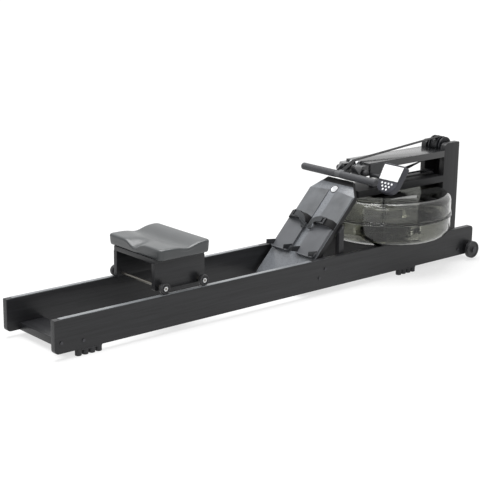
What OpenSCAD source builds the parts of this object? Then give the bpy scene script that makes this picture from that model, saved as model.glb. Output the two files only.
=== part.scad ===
// Water rowing machine: two wooden rails, a rolling seat, an inclined footboard, a clear water
// tank with its impeller, and a narrow tower that carries the strap pulley and the monitor.
// Millimetres. X runs from the seat end to the tank end, Z is up, Y = 0 is the middle plane.
// The origin is on the floor, below the middle of the whole machine.

/* [Rails] */
// Length of each side rail
rail_len = 2090; // [2060:10:2200]
// Height of each side rail
rail_h = 117; // [110:1:125]
// Thickness of each side rail
rail_t = 24; // [20:1:28]
// Clear width between the side rails
rail_gap = 276; // [272:1:290]
// Radius of the rounded rail corners
rail_round = 15; // [5:1:25]
// Thickness of the running strip on each rail
track_t = 1.5; // [1:0.5:3]
// Width of the running strip
track_w = 18; // [14:1:22]
// Length of the running strip
track_len = 1130; // [1060:10:1150]
// Diameter of the frame screw heads
screw_head_d = 12; // [9:1:14]
// Diameter of the frame screw shanks
screw_d = 6; // [4:1:8]

/* [Feet] */
// Height of the rubber feet below the rails
foot_h = 24; // [18:1:34]
// Diameter of one rubber finger
finger_d = 23; // [18:1:24]
// Distance between neighbouring rubber fingers
finger_pitch = 27; // [25:1:30]
// Rubber fingers on each foot
finger_count = 4; // [2:1:4]
// Thickness of the pad that joins the fingers
foot_pad_t = 5; // [3:1:8]
// Distance from the rear end to the first rear finger
rear_foot_x = 98; // [60:2:120]
// Distance from the front end to the rearmost front finger
front_foot_x = 439; // [390:1:490]

/* [Cross members] */
// Distance from the rear end to the rear spreader
rear_spreader_x = 50; // [30:2:60]
// Length of the rear spreader along the rails
rear_spreader_l = 100; // [60:2:140]
// Height of the rear spreader
rear_spreader_h = 26; // [20:1:40]
// Height of the front spreader, which carries the posts
front_spreader_h = 54; // [44:1:60]
// Length of the front spreader along the rails
front_spreader_l = 124; // [120:1:130]
// Height of the two boards under the tank
tank_board_h = 26; // [20:1:40]
// Length of each board under the tank
tank_board_l = 80; // [60:2:90]
// Distance from the tank's middle to each board's middle
tank_board_off = 125; // [100:1:140]

/* [Tower] */
// Length of each post along the rails
post_l = 92; // [84:1:96]
// Thickness of each post
post_t = 24; // [20:1:30]
// Top of the posts above the floor
post_top = 488; // [484:1:510]
// Distance from the front end of the rails to the posts
post_setback = 2; // [1:1:8]
// Radius of the rounded top corner of a post
post_round = 24; // [8:1:36]
// Clear width between the posts
post_gap = 82; // [80:1:92]
// Width of the top deck and of the shelf
deck_w = 130; // [120:1:144]
// Thickness of the top deck and of the shelf
deck_t = 27; // [22:1:30]
// Top of the deck above the floor
deck_top = 458; // [456:1:462]
// Distance from the front end to the deck's rear edge
deck_x = 545; // [535:1:555]
// Length of the shelf behind the deck's rear edge
shelf_back = 55; // [40:1:80]
// Depth of the handle rests below the deck
rest_h = 23; // [16:1:28]
// Length of the handle rests behind the deck's rear edge
rest_back = 55; // [50:1:60]
// Length of the handle rests under the deck
rest_under = 27; // [20:1:40]
// Depth of the handle rests' tops below the deck's top
rest_drop = 7; // [4:1:10]
// Gap between the two handle rests
rest_gap = 40; // [30:1:50]
// Radius of the rod between the handle rests, which the strap bends over
rod_r = 12; // [9:0.5:13]
// Diameter of the round knobs beside the deck's rear edge
knob_d = 26; // [18:1:30]

/* [Footboard] */
// Slope of the footboard
board_a = 47; // [44:1:49]
// Distance from the front end to where the footboard's face passes the rail tops
board_x = 877; // [868:1:890]
// Width of the footboard
board_w = 250; // [244:1:256]
// Thickness of the footboard
board_t = 20; // [16:1:24]
// Length of the footboard above the rail tops, along its slope
board_up = 350; // [338:1:352]
// Length of the footboard below the rail tops
board_down = 134; // [100:1:136]
// Width of the top edge between the cut corners
board_top_w = 138; // [110:1:180]
// Length of the cut corners along the slope
board_cut = 65; // [40:1:90]
// Thickness of the battens behind the footboard
batten_t = 26; // [20:1:30]
// Width of the battens and of the short legs
batten_w = 20; // [14:1:24]

/* [Foot rests] */
// Width of the bare strip between the foot plates
strip_w = 38; // [32:1:44]
// Thickness of the upper foot plates
plate_t = 4; // [3:0.5:6]
// Gap between the plates' outer edges and the board's edges
plate_margin = 3; // [2:0.5:6]
// Slope distance of the foot plates' top edge
plate_top = 288; // [270:1:300]
// Thickness of a heel plate
heel_t = 8; // [5:0.5:10]
// Height of a heel cup
cup_h = 38; // [25:1:45]
// Wall of a heel cup
cup_wall = 5; // [3:0.5:7]
// Slope distance of the heel plates' top edge
heel_top = 140; // [120:1:146]
// Gap under a heel plate
heel_gap = 0.3; // [0.2:0.1:0.6]
// Width of the foot straps
strap_w = 38; // [25:1:50]
// Thickness of the foot straps
strap_t = 2.5; // [1.5:0.5:4]
// Height of a foot strap over the board
strap_h = 32; // [28:1:44]
// Slope distance of the middle of a strap
strap_s = 141; // [130:1:180]

/* [Tank] */
// Outer radius of the tank
tank_r = 276; // [260:1:284]
// Wall of the tank
tank_wall = 5; // [3:0.5:7]
// Height of the tank above the rails at its shoulder
tank_h = 176; // [166:1:178]
// Radius of the tank's lower edge
tank_low_r = 45; // [30:1:55]
// Radius of the tank's shoulder
tank_top_r = 30; // [20:1:40]
// Height of the seam above the rails
seam_h = 94; // [80:1:104]
// Thickness of the seal in the seam
seal_t = 3; // [2:0.5:5]
// Height of the seat on the tank's top, which the shelf rests on
boss_h = 8; // [4:1:12]
// Radius of that seat
boss_r = 48; // [38:1:60]
// Gap between the tank and the posts
tank_gap = 12; // [6:0.5:16]
// Depth of the water
water_h = 82; // [60:1:86]
// Radius of the fill opening
fill_r = 14; // [10:1:18]
// Radius of the impeller
paddle_r = 112; // [80:1:116]
// Height of the paddles
paddle_h = 46; // [30:1:50]
// Thickness of a paddle
paddle_t = 3; // [2:0.5:5]
// Paddles on the impeller
paddle_count = 4; // [3:1:8]
// Radius of the impeller shaft
shaft_r = 9; // [7:0.5:11]

/* [Strap drive] */
// Radius of the front pulley's rims
pulley_r = 38; // [34:0.5:40]
// Depth of the strap groove in the front pulley
groove_depth = 3; // [2:0.5:4]
// Width of the drive strap
belt_w = 22; // [16:1:24]
// Thickness of the drive strap
belt_t = 2; // [1.5:0.5:2.5]
// Height of the front pulley's axle above the floor
pulley_z = 470; // [468:1:474]
// Length of the front pulley
pulley_l = 62; // [56:1:70]
// Radius of the pulley axle
axle_r = 6; // [4:0.5:8]
// Radius of the drive drum
drum_r = 32; // [26:1:36]
// Diameter of the recoil cord
cord_d = 7; // [5:0.5:8]

/* [Handle] */
// Length of the handle
handle_l = 414; // [380:2:460]
// Diameter of the handle's grip
grip_d = 29; // [26:1:32]
// Diameter of the handle's core
core_d = 19; // [15:1:21]
// Height of the handle above the floor
handle_z = 418; // [416:1:422]
// Distance from the deck's rear edge to the handle
handle_x = 105; // [99:1:115]

/* [Monitor] */
// Slope of the monitor's face
mon_a = 59; // [55:1:63]
// Distance from the deck's rear edge to the lower edge of the monitor's screen
mon_x = 35; // [29:1:41]
// Height of the lower edge of the screen above the floor
mon_z = 416; // [412:1:422]
// Distance of the monitor's middle from the middle plane
mon_y = 202; // [196:1:203]
// Width of the monitor at its top
mon_top_w = 114; // [106:1:120]
// Width of the monitor below its screen
mon_low_w = 110; // [100:1:118]
// Depth of the monitor
mon_d = 28; // [24:1:34]
// Height of the screen window
screen_h = 62; // [54:1:64]
// Diameter of a button
button_d = 9; // [7:0.5:10]
// Travel of a button
button_travel = 1.5; // [1:0.25:2]

/* [Seat] */
// Length of the seat pad along the rails
pad_l = 225; // [216:1:250]
// Width of the seat pad
pad_w = 315; // [290:1:340]
// Thickness of the pad at its raised front edge
pad_front = 46; // [36:1:56]
// Thickness of the pad at its rear corners
pad_rear = 40; // [36:1:44]
// Depth of the relief notch in the rear edge
pad_notch = 22; // [12:1:24]
// Thickness of the board under the pad
base_t = 17; // [12:1:22]
// Height of the carriage sides
side_h = 96; // [80:1:120]
// Thickness of the carriage sides
side_t = 18; // [14:1:20]
// Length of the carriage sides
side_l = 222; // [216:1:232]
// Outer width over the carriage sides
side_w = 244; // [236:1:254]
// Radius of the seat wheels
wheel_r = 20; // [16:0.5:24]
// Width of the seat wheels' treads
wheel_w = 16; // [13:1:18]
// Distance of the seat wheels' middle from the tracks' middle
wheel_shift = 3; // [0:0.5:4]
// Distance between the two carriage axles
wheel_base = 173; // [150:1:180]
// Distance from the rear end to the seat's middle
seat_x = 548; // [520:1:600]

/* [Transport wheels] */
// Radius of the transport wheels
roller_r = 36; // [28:1:38]
// Width of the transport wheels
roller_w = 20; // [16:1:24]
// Distance from the rail to the transport wheels
roller_gap = 10; // [6:1:14]
// Distance from the front end back to the transport wheels' axles
roller_setback = 24; // [20:1:36]
// Height of the transport wheels' axles above the floor
roller_z = 44; // [42:1:60]
// Radius of the transport wheels' bolts
roller_bolt_r = 6; // [4:0.5:8]

/* [Hidden] */

$fn = 64;
// Small overlap that lets a cutter pass cleanly through a face
cut = 1;
// Running clearance of an axle in its bore
run = 0.05;
// Clearance of a screw in its hole
screw_gap = 0.2;
// Gap that a soft or rolling piece keeps from its seat
seat_gap = 0.3;

rail_in = rail_gap / 2;
rail_out = rail_in + rail_t;
rail_top = foot_h + rail_h;
front_x = rail_len;
post_in = post_gap / 2;
post_out = post_in + post_t;
post_x1 = front_x - post_setback;
post_x0 = post_x1 - post_l;
tank_front = sqrt(tank_r * tank_r - post_in * post_in);
tank_x = post_x0 - tank_gap - tank_front;
tank_z = rail_top;
tank_top = tank_z + tank_h;
shelf_z = tank_top + boss_h;
shelf_top = shelf_z + deck_t;
deck_z = deck_top - deck_t;
spreader_top = foot_h + front_spreader_h;
post_bolt_z = post_top - 20;
post_bolt_head = 9;
pulley_back = 40;
pulley_x = post_x0 + pulley_back;
board_at = front_x - board_x;
deck_at = front_x - deck_x;
handle_at = deck_at - handle_x;
mon_at = deck_at - mon_x;
board_half = board_w / 2;
plate_out = board_half - plate_margin;
plate_in = strip_w / 2;
plate_mid = (plate_out + plate_in) / 2;
heel_r = (plate_out - plate_in) / 2 - 1;
heel_n = plate_t + heel_gap;

// Middle of the battens' thickness, measured out of the footboard's face
batten_n = -board_t - batten_t / 2;

rail_screw_l = 18;
batten_screw_l = 34;
post_screw_l = 40;
end_screw_x = 25;
end_screw_down = 79;
foot_screw_x = 14;
foot_screw_down = 88;
post_screw_x = 3;
post_screw_down = 27;
BATTEN_SCREWS = [-66, -22];

// Screws in each rail's outer face: distance from the rear end, height, depth
SCREWS = concat(
    [[end_screw_x, rail_top - end_screw_down, rail_screw_l],
        [rear_foot_x + foot_screw_x, rail_top - foot_screw_down, rail_screw_l]],
    [for (s = BATTEN_SCREWS) concat(on_board(s, batten_n), [batten_screw_l])],
    [[post_x0 + post_screw_x, spreader_top - post_screw_down, post_screw_l]]);

// Point on the slope of the footboard: s up the slope, n out of its face
function on_board(s, n) = [board_at + s * cos(board_a) - n * sin(board_a),
    rail_top + s * sin(board_a) + n * cos(board_a)];

roller_x = front_x - roller_setback;
bolt_head_t = 4;
bolt_dome = post_bolt_head - 2;
whole_len = max(roller_x + roller_r, post_x1 + bolt_head_t + bolt_dome);

// Moves the rear end of the rails to its place before the origin
module row() {
    translate([-whole_len / 2, 0, 0]) children();
}

// Frame of the footboard: X up the slope, Z out of its face
module board_frame() {
    row() translate([board_at, 0, rail_top]) rotate([0, -board_a, 0]) children();
}

// Draws the child once on each side of the middle plane
module both_sides() {
    children();
    mirror([0, 1, 0]) children();
}

// Extrudes an outline in X and Z between two Y planes
module slab(y0, y1) {
    translate([0, y1, 0]) rotate([90, 0, 0]) linear_extrude(y1 - y0) children();
}

// A cylinder along Y between two planes
module bar_y(r, y0, y1, sides = $fn) {
    translate([0, y1, 0]) rotate([90, 0, 0]) cylinder(r = r, h = y1 - y0, $fn = sides);
}

// Square corner minus its inscribed quarter circle, the waste of a rounded corner
module corner_waste(r) {
    difference() {
        translate([-cut, -cut]) square(r + cut);
        translate([r, r]) circle(r);
    }
}

// Rectangle with four corner radii: low start, low end, high end, high start
module plate_2d(w, h, radii) {
    difference() {
        square([w, h]);
        if (radii[0] > 0) corner_waste(radii[0]);
        if (radii[1] > 0) translate([w, 0]) mirror([1, 0]) corner_waste(radii[1]);
        if (radii[2] > 0) translate([w, h]) mirror([1, 0]) mirror([0, 1]) corner_waste(radii[2]);
        if (radii[3] > 0) translate([0, h]) mirror([0, 1]) corner_waste(radii[3]);
    }
}

// Rail on the far side of the middle plane, with its screw and axle holes
module rail() {
    difference() {
        translate([0, 0, foot_h]) slab(rail_in, rail_out)
            plate_2d(rail_len, rail_h, [rail_round, 2, rail_round, 2]);
        for (screw = SCREWS)
            translate([screw[0], 0, screw[1]])
                bar_y(screw_d / 2 + screw_gap, max(rail_out - screw[2], rail_in - cut),
                    rail_out + cut, 24);
        translate([front_x - roller_setback, 0, roller_z])
            bar_y(roller_bolt_r + screw_gap, rail_out - 16, rail_out + cut, 32);
    }
}

module rail_left() {
    color("#3a3b3d") row() rail();
}

module rail_right() {
    color("#3a3b3d") row() mirror([0, 1, 0]) rail();
}

track_x = 24;
track_mid = (rail_in + rail_out) / 2;

module seat_tracks() {
    color("#8b9092") row() both_sides()
        translate([track_x, track_mid - track_w / 2, rail_top])
            cube([track_len, track_w, track_t]);
}

module rear_spreader() {
    color("#3a3b3d") row() translate([rear_spreader_x, 0, foot_h]) slab(-rail_in, rail_in)
        plate_2d(rear_spreader_l, rear_spreader_h, [0, 0, 3, 3]);
}

spreader_x0 = post_x1 - front_spreader_l;

module front_spreader() {
    color("#333436") row() difference() {
        translate([spreader_x0, 0, foot_h]) slab(-rail_in, rail_in)
            plate_2d(front_spreader_l, front_spreader_h, [0, 0, 3, 3]);
        both_sides() screw_bore(SCREWS[4]);
    }
}

// Hole for the end of a frame screw in the piece behind the rail
module screw_bore(screw) {
    translate([screw[0], 0, screw[1]])
        bar_y(screw_d / 2 + screw_gap, rail_out - screw[2] - cut, rail_in + cut, 24);
}

module tank_supports() {
    color("#333436") row() for (side = [-1, 1])
        translate([tank_x + side * tank_board_off - tank_board_l / 2, -rail_in,
            rail_top - tank_board_h])
            cube([tank_board_l, rail_gap, tank_board_h]);
}

module footboard() {
    color("#4a4c4f") board_frame() translate([0, 0, -board_t]) linear_extrude(board_t)
        polygon([[-board_down, -board_half], [board_up - board_cut, -board_half],
            [board_up, -board_top_w / 2], [board_up, board_top_w / 2],
            [board_up - board_cut, board_half], [-board_down, board_half]]);
}

batten_out = rail_in;
batten_s0 = -88;
batten_s1 = 24;
leg_back = 117;
leg_x = board_at + leg_back;
leg_l = 26;

// Battens along the slope and short legs, all on the rails' inner faces
module foot_supports() {
    under = on_board(0, -board_t);
    color("#333436") {
        difference() {
            board_frame() both_sides()
                translate([batten_s0, batten_out - batten_w, -board_t - batten_t])
                    cube([batten_s1 - batten_s0, batten_w, batten_t]);
            row() both_sides() {
                screw_bore(SCREWS[2]);
                screw_bore(SCREWS[3]);
            }
        }
        row() both_sides() difference() {
            translate([leg_x - leg_l / 2, batten_out - batten_w, foot_h + 16])
                cube([leg_l, batten_w, rail_h + board_up]);
            translate([under[0], 0, under[1]]) rotate([0, -board_a, 0])
                translate([-board_up, 0, 0]) cube([3 * board_up, rail_out, 3 * board_up]);
        }
    }
}

// Post on the far side, with its axle bore and the bore of its front bolt
module post() {
    difference() {
        translate([post_x0, 0, spreader_top]) slab(post_in, post_out)
            plate_2d(post_l, post_top - spreader_top, [0, 0, 6, post_round]);
        translate([pulley_x, 0, pulley_z]) bar_y(axle_r + run, post_in - cut, post_out - 6);
        translate([post_x1 - 40, (post_in + post_out) / 2, post_bolt_z]) rotate([0, 90, 0])
            cylinder(r = screw_d / 2 + screw_gap, h = 40 + cut, $fn = 24);
    }
}

module post_left() {
    color("#38393b") row() post();
}

module post_right() {
    color("#38393b") row() mirror([0, 1, 0]) post();
}

// Boards of the tower run from the handle's side to the posts' rear faces
module tower_board(x0, z0) {
    translate([x0, -deck_w / 2, z0]) cube([post_x0 - x0, deck_w, deck_t]);
}

module top_deck() {
    color("#8f9698") row() tower_board(deck_at, deck_z);
}

bearing_r = 20;
bearing_flange_r = 28;
bearing_flange_t = 4;
bearing_h = 18;
pin_r = 4;
pin_h = 12;
shaft_hole = shaft_r + 6;
spool_r = 20;
cord_path = spool_r + seat_gap + cord_d / 2;
recoil_x = post_x0 - 32;
anchor_back = 55;
anchor_x = deck_at + anchor_back;

module lower_shelf() {
    color("#4b4e50") row() difference() {
        tower_board(deck_at - shelf_back, shelf_z);
        translate([tank_x, 0, shelf_z - cut]) cylinder(r = shaft_hole, h = deck_t + 2 * cut);
        translate([tank_x, 0, shelf_top - bearing_h])
            cylinder(r = bearing_r + run, h = bearing_h + cut);
        for (pin = [[recoil_x, 0], [anchor_x, -cord_path]])
            translate([pin[0], pin[1], shelf_top - pin_h])
                cylinder(r = pin_r + run, h = pin_h + cut, $fn = 32);
    }
}

rest_x0 = deck_at - rest_back;
rest_z0 = deck_z - rest_h;
rest_top = deck_top - rest_drop;
// Corner cut of a handle rest: its reach along X, Y and Z
REST_CUT = [18, 34, 31];

// Everything beyond the slanted corner of the far handle rest
module rest_corner() {
    reach = [-1 / REST_CUT[0], 1 / REST_CUT[1], 1 / REST_CUT[2]];
    translate([rest_x0, deck_w / 2, rest_top])
        rotate([0, acos(reach[2] / norm(reach)), atan2(reach[1], reach[0])])
            translate([-rest_back, -rest_back, -1 / norm(reach)])
                cube([2 * rest_back, 2 * rest_back, 2 * rest_back]);
}

rod_gap = 3;
rod_x = deck_at - rod_r - rod_gap;
rod_z = rest_top;

// Two blocks at the deck's rear edge and the rod between them
module handle_rests() {
    color("#37393b") row() {
        both_sides() difference() {
            slab(rest_gap / 2, deck_w / 2)
                polygon([[rest_x0, rest_z0], [deck_at + rest_under, rest_z0],
                    [deck_at + rest_under, deck_z], [deck_at, deck_z], [deck_at, rest_top],
                    [rest_x0, rest_top]]);
            rest_corner();
        }
        translate([rod_x, 0, rod_z]) bar_y(rod_r, -rest_gap / 2, rest_gap / 2);
    }
}

knob_x = rest_x0 + 27;
knob_z = rest_z0 + 16;
knob_out = knob_d / 2 - 4;

module rest_knobs() {
    color("#1d1e20") row() both_sides() difference() {
        translate([knob_x, deck_w / 2 + knob_out, knob_z]) sphere(knob_d / 2);
        translate([knob_x - knob_d, deck_w / 2 - knob_d, knob_z - knob_d])
            cube([2 * knob_d, knob_d, 2 * knob_d]);
    }
}

roller_in = rail_out + roller_gap;
roller_out = roller_in + roller_w;
screw_head_t = 2.5;

module frame_screw(screw) {
    translate([screw[0], 0, screw[1]]) {
        bar_y(screw_d / 2, rail_out - screw[2] + 1, rail_out + screw_head_t, 24);
        bar_y(screw_head_d / 2, rail_out, rail_out + screw_head_t, 32);
    }
}

module front_bolt() {
    translate([post_x1, (post_in + post_out) / 2, post_bolt_z]) rotate([0, 90, 0]) {
        translate([0, 0, -39]) cylinder(r = screw_d / 2, h = 39, $fn = 24);
        cylinder(r = post_bolt_head, h = bolt_head_t, $fn = 32);
        intersection() {
            translate([0, 0, bolt_head_t]) sphere(bolt_dome, $fn = 32);
            cylinder(r = post_bolt_head, h = bolt_head_t + post_bolt_head);
        }
    }
}

module roller_bolt() {
    translate([roller_x, 0, roller_z]) {
        bar_y(roller_bolt_r, rail_out - 15, roller_out + 5);
        bar_y(roller_bolt_r + 6, rail_out, roller_in - seat_gap);
        bar_y(roller_bolt_r + 5, roller_out + seat_gap, roller_out + 5);
    }
}

module frame_bolts() {
    color("#85888a") row() both_sides() {
        for (screw = SCREWS) frame_screw(screw);
        front_bolt();
        roller_bolt();
    }
}

module foot(x0) {
    translate([x0, track_mid, 0]) {
        for (i = [0:finger_count - 1])
            translate([i * finger_pitch, 0, 0]) cylinder(d = finger_d, h = foot_h);
        translate([-finger_d / 2, -finger_d / 2, foot_h - foot_pad_t])
            cube([(finger_count - 1) * finger_pitch + finger_d, finger_d, foot_pad_t]);
    }
}

module rubber_feet() {
    color("#191a1c") row() both_sides() {
        foot(rear_foot_x);
        foot(front_x - front_foot_x);
    }
}

plate_low = -8;
// Slant of the foot plates' top edge
plate_slant = 5;

module foot_plates() {
    color("#606468") board_frame() both_sides() linear_extrude(plate_t)
        polygon([[plate_low, plate_in], [plate_top + plate_slant, plate_in],
            [plate_top - plate_slant, plate_out], [plate_low, plate_out]]);
}

strap_half = (plate_out - plate_in) / 2 + seat_gap + strap_t;
strap_bow = 0.35;

// Half of a rounded arch: half width, height, from one foot to the other
function arch(half, high) = [for (t = [0:7.5:180])
    [half * sign(cos(t)) * pow(abs(cos(t)), strap_bow), high * pow(abs(sin(t)), strap_bow)]];
function backward(list) = [for (i = [len(list) - 1:-1:0]) list[i]];

// Turns a drawing in Y and height to stand across the footboard, thick along the slope
module across(s0, width) {
    translate([s0, 0, 0]) rotate([90, 0, 90]) linear_extrude(width) children();
}

module foot_straps() {
    color("#232426") board_frame() both_sides() translate([0, plate_mid, 0])
        across(strap_s - strap_w / 2, strap_w)
            polygon(concat(arch(strap_half, strap_h),
                backward(arch(strap_half - strap_t, strap_h - strap_t))));
}

buckle_l = strap_w - 6;
buckle_w = 38;
buckle_t = 6;

// Flat buckle with two recesses, on the top of each foot strap
module strap_buckles() {
    color("#2c2e31") board_frame() both_sides()
        translate([strap_s - buckle_l / 2, plate_mid - buckle_w / 2, strap_h + seat_gap])
            difference() {
                cube([buckle_l, buckle_w, buckle_t]);
                for (window = [5, buckle_w / 2 + 2])
                    translate([4, window, buckle_t - 2])
                        cube([buckle_l - 8, buckle_w / 2 - 7, 2 + cut]);
            }
}

seam_lip = 4;
wall_r = tank_r - seam_lip;
cavity_r = wall_r - tank_wall;
seam_z = tank_z + seam_h;
lip_h = 5;

module at_tank() {
    row() translate([tank_x, 0, 0]) children();
}

module tank_lower() {
    color([0.62, 0.63, 0.58, 0.45]) at_tank() rotate_extrude($fn = 96) difference() {
        union() {
            translate([0, tank_z])
                plate_2d(wall_r, seam_h - seal_t / 2, [0, tank_low_r, 0, 0]);
            translate([cavity_r, seam_z - seal_t / 2 - lip_h])
                square([tank_r - cavity_r, lip_h]);
        }
        translate([0, tank_z + tank_wall])
            plate_2d(cavity_r, seam_h, [0, tank_low_r - tank_wall, 0, 0]);
    }
}

fill_x = tank_x + 40;
fill_y = 150;

module tank_upper() {
    low = seam_z + seal_t / 2;
    color([0.62, 0.63, 0.58, 0.45]) difference() {
        at_tank() rotate_extrude($fn = 96) difference() {
            union() {
                translate([0, low]) plate_2d(wall_r, tank_top - low, [0, 0, tank_top_r, 0]);
                translate([cavity_r, low]) square([tank_r - cavity_r, lip_h]);
                translate([0, tank_top - cut]) square([boss_r, boss_h + cut]);
            }
            translate([0, low - cut]) plate_2d(cavity_r, tank_top - tank_wall - low + cut,
                [0, 0, tank_top_r - tank_wall, 0]);
            translate([0, low]) square([shaft_hole, shelf_z]);
        }
        row() translate([fill_x, fill_y, tank_top - tank_wall - cut])
            cylinder(r = fill_r + screw_gap, h = tank_wall + 2 * cut);
    }
}

module tank_gasket() {
    color("#2a2b2a") at_tank() translate([0, 0, seam_z - seal_t / 2])
        rotate_extrude($fn = 96) translate([cavity_r + 1, 0])
            square([tank_r - cavity_r - 2, seal_t]);
}

paddle_z = tank_z + tank_wall + 12;
swirl = 4;

module water() {
    color([0.55, 0.58, 0.52, 0.4]) at_tank() rotate_extrude($fn = 96) difference() {
        translate([0, tank_z + tank_wall + seat_gap]) plate_2d(cavity_r - seat_gap, water_h,
            [0, tank_low_r - tank_wall - seat_gap, 0, 0]);
        translate([0, paddle_z - swirl]) square([paddle_r + swirl, paddle_h + 2 * swirl]);
        translate([0, paddle_z]) square([shaft_r + swirl, water_h]);
    }
}

module shaft_bearing() {
    color("#2a2c2f") at_tank() difference() {
        union() {
            translate([0, 0, shelf_top - bearing_h]) cylinder(r = bearing_r, h = bearing_h);
            translate([0, 0, shelf_top]) cylinder(r = bearing_flange_r, h = bearing_flange_t);
        }
        translate([0, 0, shelf_top - bearing_h - cut])
            cylinder(r = shaft_r + run, h = bearing_h + bearing_flange_t + 2 * cut);
    }
}

drum_z0 = shelf_top + bearing_flange_t + seat_gap;
cord_z = drum_z0 + cord_d / 2 + 3;
drum_flange = 3;
drum_z1 = drum_z0 + cord_d + 5;
belt_z = drum_z1 + drum_flange + belt_w / 2 + 1;
// Room over the strap, which comes in at a slope
drum_room = 3.5;
drum_z2 = belt_z + belt_w / 2 + drum_room;
drum_z3 = drum_z2 + drum_flange;
drum_hub_h = 9;
wound_r = drum_r - 5;

// Bends of the strap in the plane Y = 0: the rod, the front pulley and the run to the drum
ROD = [rod_x, rod_z];
PULLEY = [pulley_x, pulley_z];
HANDLE = [handle_at, handle_z];
DRUM = [tank_x, belt_z];
rod_path = rod_r + seat_gap + belt_t / 2;
pulley_path = pulley_r - groove_depth + seat_gap + belt_t / 2;
drum_path = wound_r + seat_gap + belt_t / 2;

function slope_of(p, q) = atan2(q[1] - p[1], q[0] - p[0]);
function out_of(c, r, a) = c + r * [cos(a), sin(a)];
hand_a = slope_of(HANDLE, ROD) + asin(rod_path / norm(ROD - HANDLE));
top_a = slope_of(ROD, PULLEY) + asin((pulley_path - rod_path) / norm(PULLEY - ROD));
back_a = slope_of(DRUM, PULLEY) - asin(pulley_path / norm(PULLEY - DRUM));

// One cross section of the strap: place in X and Z, Y, direction out of the bend, twist
function belt_ring(p, y, a, twist) = let (
    out = [cos(a), 0, sin(a)],
    wide = (cos(twist) * [0, 1, 0] + sin(twist) * out) * belt_w / 2,
    thick = (cos(twist) * out - sin(twist) * [0, 1, 0]) * belt_t / 2,
    mid = [p[0], y, p[1]])
    [mid - wide - thick, mid + wide - thick, mid + wide + thick, mid - wide + thick];

function middle(ring) = [for (k = [0:2]) sum_of([for (p = ring) p[k]]) / len(ring)];
function sum_of(list) = list * [for (value = list) 1];

// Skin over a row of cross sections that each have the same number of points
module skin(rings) {
    n = len(rings[0]);
    last = len(rings) - 1;
    polyhedron(
        concat([for (ring = rings) each ring], [middle(rings[0]), middle(rings[last])]),
        concat(
            [for (j = [0:n - 1]) [(last + 1) * n, j, (j + 1) % n]],
            [for (i = [0:last - 1]) for (j = [0:n - 1])
                [i * n + j, (i + 1) * n + j, (i + 1) * n + (j + 1) % n]],
            [for (i = [0:last - 1]) for (j = [0:n - 1])
                [i * n + j, (i + 1) * n + (j + 1) % n, i * n + (j + 1) % n]],
            [for (j = [0:n - 1])
                [(last + 1) * n + 1, last * n + (j + 1) % n, last * n + j]]));
}

run_steps = 12;
bend_steps = 20;

module drive_strap() {
    bend0 = 90 + top_a;
    bend1 = -90 + back_a;
    off = out_of(PULLEY, pulley_path, bend1);
    color("#2b2c2e") row() skin(concat(
        [belt_ring(out_of(ROD, rod_path, bend0), 0, bend0, 0)],
        [for (i = [0:bend_steps]) let (a = bend0 + (bend1 - bend0) * i / bend_steps)
            belt_ring(out_of(PULLEY, pulley_path, a), 0, a, 0)],
        [for (i = [1:run_steps]) let (k = i / run_steps)
            belt_ring(off + (DRUM - off) * k, -drum_path * k, bend1, 90 * k)]));
}

clip_l = grip_d / 2 + 9;

module handle_strap() {
    bend0 = 90 + hand_a;
    bend1 = 90 + top_a;
    color("#2b2c2e") row() skin(concat(
        [belt_ring(out_of(HANDLE, clip_l, hand_a), 0, bend0, 0)],
        [for (i = [0:5]) let (a = bend0 + (bend1 - bend0) * i / 5)
            belt_ring(out_of(ROD, rod_path, a), 0, a, 0)]));
}

module recoil_cord() {
    color("#202123") row() translate([0, 0, cord_z]) {
        translate([recoil_x, cord_path, 0]) rotate([0, -90, 0])
            cylinder(d = cord_d, h = recoil_x - tank_x, $fn = 32);
        translate([recoil_x, 0, 0]) rotate([0, 0, -90]) rotate_extrude(angle = 180)
            translate([cord_path, 0]) circle(d = cord_d, $fn = 32);
        translate([recoil_x, -cord_path, 0]) rotate([0, -90, 0])
            cylinder(d = cord_d, h = recoil_x - anchor_x - pin_r - 4, $fn = 32);
    }
}

recoil_z0 = cord_z - cord_d / 2 - 2.5;
recoil_h = cord_d + 5;

module recoil_pulley() {
    rim = cord_path + cord_d / 2 + 1;
    color("#3b3d40") row() translate([recoil_x, 0, recoil_z0]) difference() {
        union() {
            cylinder(r = spool_r, h = recoil_h);
            cylinder(r = rim, h = 2);
            translate([0, 0, recoil_h - 2]) cylinder(r = rim, h = 2);
        }
        translate([0, 0, -cut]) cylinder(r = pin_r + run, h = recoil_h + 2 * cut);
    }
}

// Axle and spacers of the front pulley, and the two pins of the recoil cord
module pulley_axle() {
    color("#b9bcbe") row() {
        translate([pulley_x, 0, pulley_z]) {
            bar_y(axle_r, -post_out + 7, post_out - 7);
            both_sides() bar_y(axle_r + 5, pulley_l / 2 + seat_gap, post_in);
        }
        translate([recoil_x, 0, shelf_top]) {
            translate([0, 0, -pin_h])
                cylinder(r = pin_r, h = pin_h + recoil_z0 + recoil_h - shelf_top + 4);
            cylinder(r = pin_r + 4, h = recoil_z0 - shelf_top - seat_gap);
            translate([0, 0, recoil_z0 + recoil_h - shelf_top + seat_gap])
                cylinder(r = pin_r + 3, h = 4);
        }
        translate([anchor_x, -cord_path, shelf_top]) {
            translate([0, 0, -pin_h]) cylinder(r = pin_r, h = pin_h);
            cylinder(r = pin_r + 4, h = cord_z + cord_d - shelf_top);
        }
    }
}

arm_r = 8;
arm_plate_t = 5;
arm_plate_l = 80;
arm_inset = 3;
arm_below = 8;
lug_l = 30;
lug_r = 13;
pivot_s = 20;
lug_out = 14;
pivot_n = -mon_d - lug_out;
pivot_x = mon_at + pivot_s * cos(mon_a) - pivot_n * sin(mon_a);
pivot_z = mon_z + pivot_s * sin(mon_a) + pivot_n * cos(mon_a);

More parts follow.
